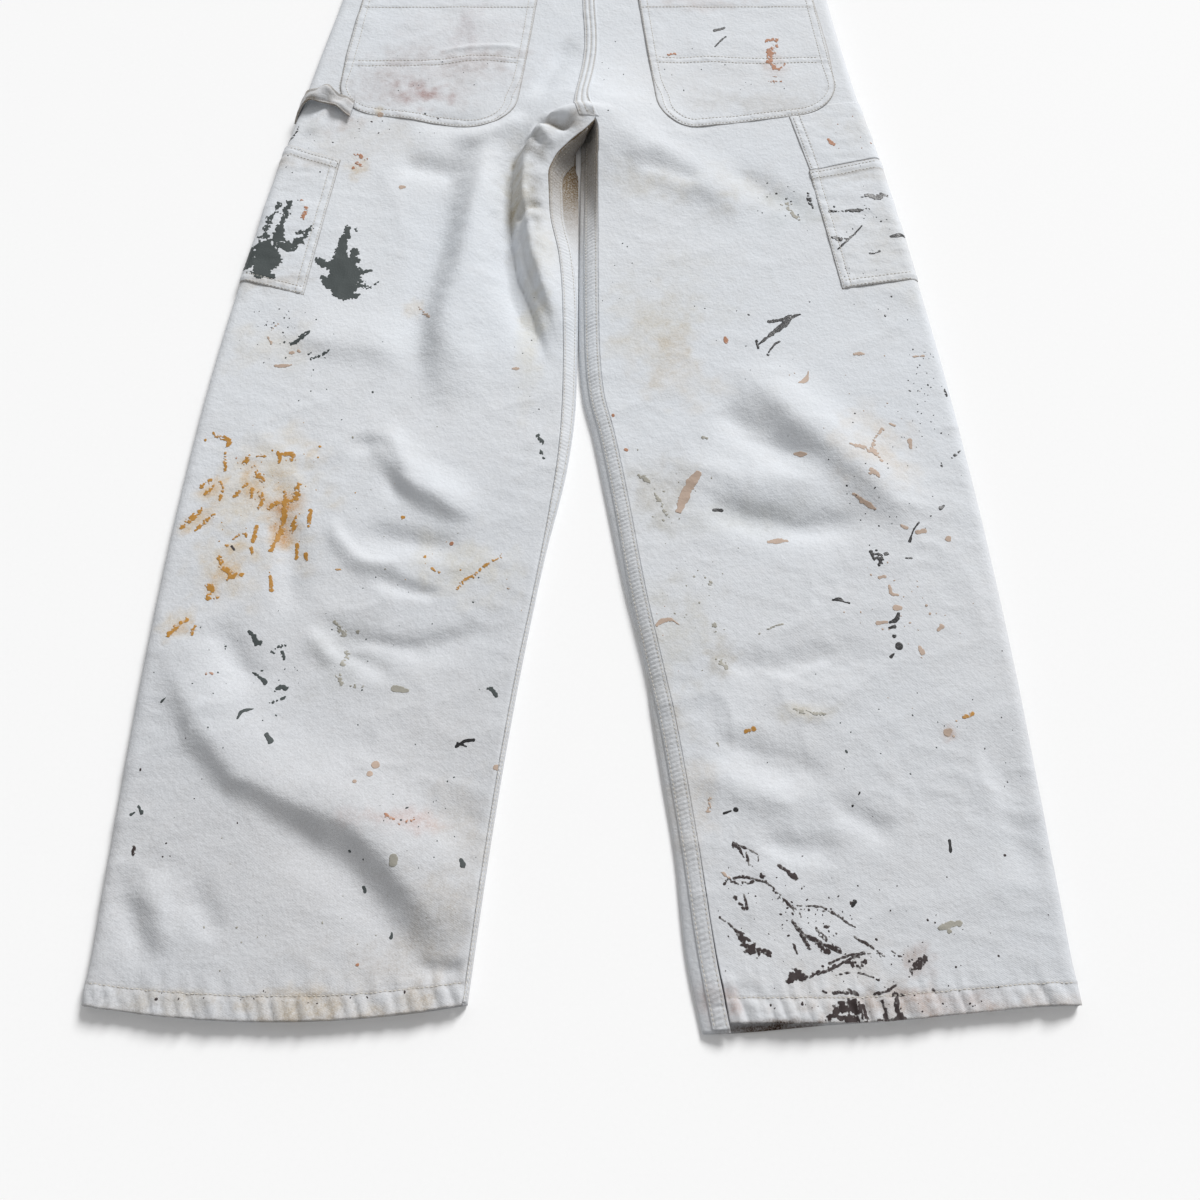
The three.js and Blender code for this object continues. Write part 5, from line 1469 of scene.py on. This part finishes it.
# Spatter: where it is thick, as centre, reach, number of drops, and paint.
SPATTER = [
    (-275, 560, 40, 30, 26, "black_enamel"), (-225, 520, 90, 60, 16, "slate_emulsion"),
    (-270, 750, 30, 40, 14, "black_enamel"), (-180, 790, 60, 20, 12, "brown_black_stain"),
    (-160, 860, 60, 40, 12, "slate_emulsion"), (-262, 400, 70, 80, 30, "ochre_scumble"),
    (-250, 240, 70, 60, 34, "slate_emulsion"), (-120, 130, 60, 60, 22, "slate_emulsion"),
    (-200, 60, 90, 50, 18, "grey_undercoat"), (-50, 520, 20, 60, 8, "black_enamel"),
    (-180, 420, 100, 60, 8, "grey_undercoat"), (-110, 340, 50, 30, 8, "ochre_scumble"),
    (290, 490, 26, 80, 44, "black_enamel"), (240, 400, 60, 80, 34, "black_enamel"),
    (255, 300, 50, 60, 30, "tan_emulsion"), (250, 640, 40, 60, 18, "black_enamel"),
    (185, 700, 36, 26, 18, "slate_emulsion"), (150, 560, 60, 50, 14, "black_enamel"),
    (70, 400, 40, 60, 16, "grey_undercoat"), (90, 300, 40, 60, 20, "grey_undercoat"),
    (200, 200, 120, 60, 20, "slate_emulsion"), (150, 60, 60, 50, 60, "brown_black_stain"),
    (200, 60, 80, 50, 26, "brown_black_stain"), (250, 30, 60, 30, 16, "brown_black_stain"),
    (130, 850, 80, 60, 12, "slate_emulsion"), (20, 620, 30, 90, 14, "slate_emulsion"),
    (310, 200, 30, 120, 12, "brown_black_stain"), (60, 220, 14, 90, 14, "rust_primer"),
    (270, 700, 24, 40, 10, "slate_emulsion"), (255, 780, 30, 30, 8, "rust_primer"),
    (230, 500, 60, 60, 12, "tan_emulsion"), (-300, 150, 40, 60, 10, "brown_black_stain"),
    (-220, 8, 90, 6, 16, "brown_black_stain"), (220, 4, 90, 6, 18, "brown_black_stain"),
    (-140, 330, 120, 120, 14, "slate_emulsion"), (20, 850, 40, 60, 8, "slate_emulsion"),
]


def settle(x, y):
    """Slides places on the layout plane along their lines from the eye point, down or up to the cloth's own face."""
    x, y = np.asarray(x, float), np.asarray(y, float)
    u, v = x, y
    for _ in range(3):
        height = cloth_face(u, v)[0][..., 2]
        share = (EYE[2] - np.clip(height, 2, 40)) / (EYE[2] - READ_LEVEL)
        bow = np.where(u < 0, hem_shift(LEGS["left"], u, v), hem_shift(LEGS["right"], u, v))
        u, v = EYE[0] + (x - EYE[0]) * share, EYE[1] + (y - EYE[1]) * share - bow
    return u, v


class OVERALLS_OT_paint(bpy.types.Operator):
    """Dried paint: blots, brush marks, scuffs and spatter, one mesh for each paint"""

    bl_idname = "overalls.paint"
    bl_label = "Dried paint"

    def execute(self, context):
        rng = np.random.default_rng(91)
        drops = {name: [] for name in PAINT}
        for cx, cy, rx, ry, count, name in SPATTER:
            x, y = settle(cx + rng.normal(0, rx * 0.5, count), cy + rng.normal(0, ry * 0.5, count))
            size = np.clip(rng.lognormal(DROP_SIZE, DROP_SPREAD, count), *DROP_LIMITS)
            for leg in LEGS.values():
                here = (x < 0) if leg["side"] < 0 else (x >= 0)
                inner = leg["side"] * (x - back_edge(leg, y)) > DROP_INSET
                outer = leg["side"] * (follow(leg["outer"], y) - x) > DROP_INSET + 1
                fits = here & inner & outer & (y > 1)
                drops[name] += np.stack([x, y, size], 1)[fits].tolist()
        for number, (name, patches) in enumerate(PAINT.items()):
            points, thick, faces, start = [], [], [], 0
            for k, (ragged, dry, strokes) in enumerate(patches):
                lines = [np.array(stroke, float).reshape(-1, 3) for stroke in strokes]
                drier, broader = PAINT_DRYNESS.get(name, (0, 0))
                for line in lines:
                    line[:, 0], line[:, 1] = settle(line[:, 0], line[:, 1])
                    line[:, 2] += broader
                seed = 100 + 20 * k + 700 * number
                skin = paint_patch(ragged * (1.25 + drier), min(dry + drier, 0.95), lines, seed)
                if skin is None:
                    continue
                points.append(skin[0])
                thick.append(skin[2])
                faces += (skin[1] + start).tolist()
                start += len(skin[0])
            if drops[name]:
                dome, dome_faces = droplets(drops[name], context.scene.overalls_paint.drop / MM)
                points.append(dome)
                thick.append(np.full(len(dome), 0.9))
                faces += [[v + start for v in face] for face in dome_faces]
            density = np.repeat(np.concatenate(thick)[:, None], 3, 1)
            piece = new_object(f"paint_{name}", np.concatenate(points), faces, name, tint=density)
        return {"FINISHED"}


# ---- Finishes ----
def set_inputs(node, values):
    """Sets a node's socket values, by name or by number."""
    for key, value in values.items():
        node.inputs[key].default_value = value


def add(tree, kind, settings=None, **links):
    """Adds a node, sets its properties and socket values by name, and links sockets given as keyword sources."""
    node = tree.nodes.new(kind)
    for key, value in (settings or {}).items():
        if hasattr(node, str(key)):
            setattr(node, key, value)
        else:
            set_inputs(node, {key: value})
    for key, source in links.items():
        socket = int(key[1:]) if key[0] == "_" else key.replace("_", " ")
        tree.links.new(source, node.inputs[socket])
    return node


def material(name):
    """A new material with its node tree, its shader, and places on the object to draw patterns from."""
    made = bpy.data.materials.new(name)
    made.use_nodes = True
    tree = made.node_tree
    return made, tree, tree.nodes["Principled BSDF"], add(tree, "ShaderNodeTexCoord").outputs["Object"]


def two_tones(tree, shader, factor, dark, light, ends=(0.0, 1.0)):
    """Colours the shader from the dark tone to the light one, as the factor rises between two ends."""
    ramp = add(tree, "ShaderNodeValToRGB", Fac=factor)
    for element, colour, end in zip(ramp.color_ramp.elements, (dark, light), ends):
        element.position = end
        element.color = (*colour, 1)
    tree.links.new(ramp.outputs["Color"], shader.inputs["Base Color"])


def scaled_colour(tree, shader, colour, scale):
    """Gives the shader a colour times a scale."""
    both = add(tree, "ShaderNodeVectorMath", {"operation": "SCALE"}, _0=colour, Scale=scale)
    tree.links.new(both.outputs["Vector"], shader.inputs["Base Color"])


def roughen(tree, shader, height, strength, distance):
    """Bumps the shader's surface by a height, over a distance in metres."""
    bump = add(tree, "ShaderNodeBump", {"Strength": strength, "Distance": distance}, Height=height)
    tree.links.new(bump.outputs["Normal"], shader.inputs["Normal"])


def finish_drill(colour):
    """Cotton drill, washed soft: matt white with a faint diagonal twill, slubs, fuzz and ground-in soil."""
    made, tree, shader, place = material("cotton_drill")
    tint = add(tree, "ShaderNodeAttribute", {"attribute_name": "tint"}).outputs["Color"]
    turned = add(tree, "ShaderNodeMapping", {"Rotation": (0, 0, math.radians(63))}, Vector=place).outputs["Vector"]
    # threads lie 0.5 mm apart in 300 g/m2 drill; the twill is drawn at 1.1 mm so that it shows
    twill = add(tree, "ShaderNodeTexWave", {
        "Scale": 290.0, "Distortion": 2.2, "Detail": 2.0, "Detail Scale": 3.0}, Vector=turned)
    slub = add(tree, "ShaderNodeTexNoise", {"Scale": 420.0, "Detail": 3.0, "Roughness": 0.6}, Vector=place)
    crease = add(tree, "ShaderNodeTexNoise", {
        "Scale": 210.0, "Detail": 4.0, "Roughness": 0.6, "Distortion": 0.15}, Vector=place)
    soil = add(tree, "ShaderNodeTexNoise", {"Scale": 700.0, "Detail": 4.0, "Roughness": 0.75}, Vector=place)
    held = add(tree, "ShaderNodeMapRange", {
        "From Min": 0.36, "From Max": 0.62, "To Min": 0.72, "To Max": 1.22, "clamp": False},
        Value=soil.outputs["Fac"])
    dirty = add(tree, "ShaderNodeMix", {
        "data_type": "RGBA", "clamp_factor": False}, _0=held.outputs["Result"], _7=tint)
    set_inputs(dirty, {6: (1, 1, 1, 1)})
    mottle = add(tree, "ShaderNodeMapRange", {"To Min": 0.93, "To Max": 1.04}, Value=slub.outputs["Fac"])
    white = add(tree, "ShaderNodeMix", {"data_type": "RGBA", "blend_type": "MULTIPLY"}, _6=dirty.outputs[2])
    set_inputs(white, {0: 1.0, 7: (*colour, 1)})
    scaled_colour(tree, shader, white.outputs[2], mottle.outputs["Result"])
    weave = add(tree, "ShaderNodeMath", {
        "operation": "MULTIPLY_ADD"}, _0=twill.outputs["Fac"], _2=slub.outputs["Fac"])
    set_inputs(weave, {1: 0.45})
    near = add(tree, "ShaderNodeBump", {"Strength": 0.6, "Distance": 0.0003}, Height=weave.outputs["Value"])
    far = add(tree, "ShaderNodeBump", {
        "Strength": 0.55, "Distance": 0.0011}, Height=crease.outputs["Fac"], Normal=near.outputs["Normal"])
    tree.links.new(far.outputs["Normal"], shader.inputs["Normal"])
    set_inputs(shader, {"Roughness": 0.92, "Specular IOR Level": 0.25, "Sheen Weight": 0.1, "Sheen Roughness": 0.5})
    return made


def finish_thread(thread):
    """Spun cotton thread: plied, matt and a little darker than the cloth for the dirt that it holds."""
    made, tree, shader, place = material("cotton_thread")
    ply = add(tree, "ShaderNodeTexNoise", {"Scale": 2500.0, "Detail": 2.0}, Vector=place)
    dirt = add(tree, "ShaderNodeTexNoise", {"Scale": 60.0, "Detail": 2.0}, Vector=place)
    two_tones(tree, shader, dirt.outputs["Fac"], thread.soiled, thread.clean)
    roughen(tree, shader, ply.outputs["Fac"], 0.5, 0.0001)
    shader.inputs["Roughness"].default_value = 0.85
    return made


def finish_paint(name, colour, roughness, dryness):
    """Paint dried on cloth: full where it is thick, and the cloth's white through it where it is thin."""
    made, tree, shader, place = material(name)
    tint = add(tree, "ShaderNodeAttribute", {"attribute_name": "tint"}).outputs["Fac"]
    thin = add(tree, "ShaderNodeTexNoise", {"Scale": 560.0, "Detail": 4.0, "Roughness": 0.7}, Vector=place)
    broad = add(tree, "ShaderNodeTexNoise", {"Scale": 90.0, "Detail": 2.0}, Vector=place)
    worn = add(tree, "ShaderNodeMath", {"operation": "MULTIPLY_ADD"}, _0=thin.outputs["Fac"], _2=tint)
    set_inputs(worn, {1: -0.9})
    cover = add(tree, "ShaderNodeMapRange", {
        "From Min": -0.42 + 0.7 * dryness, "From Max": 0.02 + 0.9 * dryness}, Value=worn.outputs["Value"])
    worn_through = 0.35 * np.array(colour) + 0.65 * np.array([0.64, 0.64, 0.63])
    film = add(tree, "ShaderNodeMix", {"data_type": "RGBA"}, _0=cover.outputs["Result"])
    set_inputs(film, {6: (*worn_through, 1), 7: (*colour, 1)})
    shade = add(tree, "ShaderNodeMapRange", {"To Min": 0.8, "To Max": 1.15}, Value=broad.outputs["Fac"])
    scaled_colour(tree, shader, film.outputs[2], shade.outputs["Result"])
    roughen(tree, shader, thin.outputs["Fac"], 0.6, 0.0004)
    shader.inputs["Roughness"].default_value = roughness
    return made


def finish_brass():
    """Stamped brass gone dull: warm metal with patches of brown tarnish, smoother where it is bright, and a fine
    bump.
    """
    made, tree, shader, place = material("worn_brass")
    tarnish = add(tree, "ShaderNodeTexNoise", {"Scale": 220.0, "Detail": 5.0, "Roughness": 0.65}, Vector=place)
    two_tones(tree, shader, tarnish.outputs["Fac"], linear("#7a6238"), linear("#c2a566"), (0.35, 0.65))
    rough = add(tree, "ShaderNodeMapRange", {"To Min": 0.55, "To Max": 0.28}, Value=tarnish.outputs["Fac"])
    tree.links.new(rough.outputs["Result"], shader.inputs["Roughness"])
    roughen(tree, shader, tarnish.outputs["Fac"], 0.3, 0.0001)
    shader.inputs["Metallic"].default_value = 1.0
    return made


class OVERALLS_OT_finishes(bpy.types.Operator):
    """Finishes of the cloth, thread, paint and metal"""

    bl_idname = "overalls.finishes"
    bl_label = "Finishes"

    def execute(self, context):
        drill = finish_drill(tuple(context.scene.overalls_cloth.colour))
        finish_thread(context.scene.overalls_thread)
        for name in PAINT:
            colour = tuple(getattr(context.scene.overalls_paint, name))
            roughness = 0.35 if name == "black_enamel" else 0.62
            finish_paint(name, colour, roughness, PAINT_DRYNESS.get(name, (0, 0))[0])
        brass = finish_brass()
        for name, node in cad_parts.items():
            metal = name.startswith(("buckle", "bib_button", "side_button"))
            for slot in node.material_slots:
                slot.material = brass if metal else drill
        return {"FINISHED"}


class OVERALLS_OT_stage(bpy.types.Operator):
    """Pale floor, soft light and the camera"""

    bl_idname = "overalls.stage"
    bl_label = "Stage"

    def execute(self, context):
        scene = context.scene
        bpy.ops.mesh.primitive_plane_add(size=24)
        floor = context.object
        floor.name = "floor"
        made, tree, shader, place = material("matt_white_board")
        grain = add(tree, "ShaderNodeTexNoise", {"Scale": 300.0}, Vector=place)
        two_tones(tree, shader, grain.outputs["Fac"], (0.93, 0.93, 0.93), (0.95, 0.95, 0.95))
        set_inputs(shader, {"Roughness": 0.8, "Specular IOR Level": 0.2})
        floor.data.materials.append(made)
        scene.view_settings.view_transform = "Standard"
        world = bpy.data.worlds.new("soft_room")
        world.use_nodes = True
        background = world.node_tree.nodes["Background"]
        set_inputs(background, {"Color": (1, 1, 1, 1), "Strength": scene.overalls_stage.room})
        scene.world = world
        light = bpy.data.lights.new("key", "SUN")
        light.angle = scene.overalls_stage.softness
        light.energy = scene.overalls_stage.sun
        key = bpy.data.objects.new("key", light)
        key.location = to_frame(KEY_LIGHT)
        direction = to_frame(KEY_AIM) - to_frame(KEY_LIGHT)
        key.rotation_euler = (
            math.atan2(math.hypot(direction[0], direction[1]), -direction[2]),
            0,
            math.atan2(-direction[0], direction[1]),
        )
        scene.collection.objects.link(key)
        lens = bpy.data.cameras.new("camera")
        lens.lens = LENS
        lens.sensor_width = SENSOR
        lens.clip_start = 0.01
        camera = bpy.data.objects.new("camera", lens)
        camera.location = to_frame(EYE)
        camera.rotation_euler = (math.radians(90 - CAMERA_TILT), 0, 0)
        scene.collection.objects.link(camera)
        scene.camera = camera
        return {"FINISHED"}


class OVERALLS_PT_panel(bpy.types.Panel):
    """Lists the pieces in the order that they are made"""

    bl_idname = "OVERALLS_PT_panel"
    bl_label = "Painter's overalls"
    bl_space_type = "VIEW_3D"
    bl_region_type = "UI"
    bl_category = "Overalls"

    def draw(self, context):
        for key, settings in SETTINGS.items():
            box = self.layout.box()
            box.label(text=settings.__doc__)
            for name in settings.__annotations__:
                box.prop(getattr(context.scene, key), name)
        for operator in OPERATORS:
            self.layout.operator(operator.bl_idname)


OPERATORS = (
    OVERALLS_OT_finishes, OVERALLS_OT_stage, OVERALLS_OT_fronts, OVERALLS_OT_backs,
    OVERALLS_OT_seat_pockets, OVERALLS_OT_leg_pockets, OVERALLS_OT_hammer_loop, OVERALLS_OT_bibs,
    OVERALLS_OT_straps, OVERALLS_OT_stitching, OVERALLS_OT_paint,
)


def register():
    for item in (*SETTINGS.values(), *OPERATORS, OVERALLS_PT_panel):
        bpy.utils.register_class(item)
    for key, settings in SETTINGS.items():
        setattr(bpy.types.Scene, key, bpy.props.PointerProperty(type=settings))


def unregister():
    for key in SETTINGS:
        delattr(bpy.types.Scene, key)
    for item in reversed((*SETTINGS.values(), *OPERATORS, OVERALLS_PT_panel)):
        bpy.utils.unregister_class(item)


def main():
    register()
    for operator in OPERATORS:
        group, action = operator.bl_idname.split(".")
        getattr(getattr(bpy.ops, group), action)()


if __name__ == "__main__":
    main()
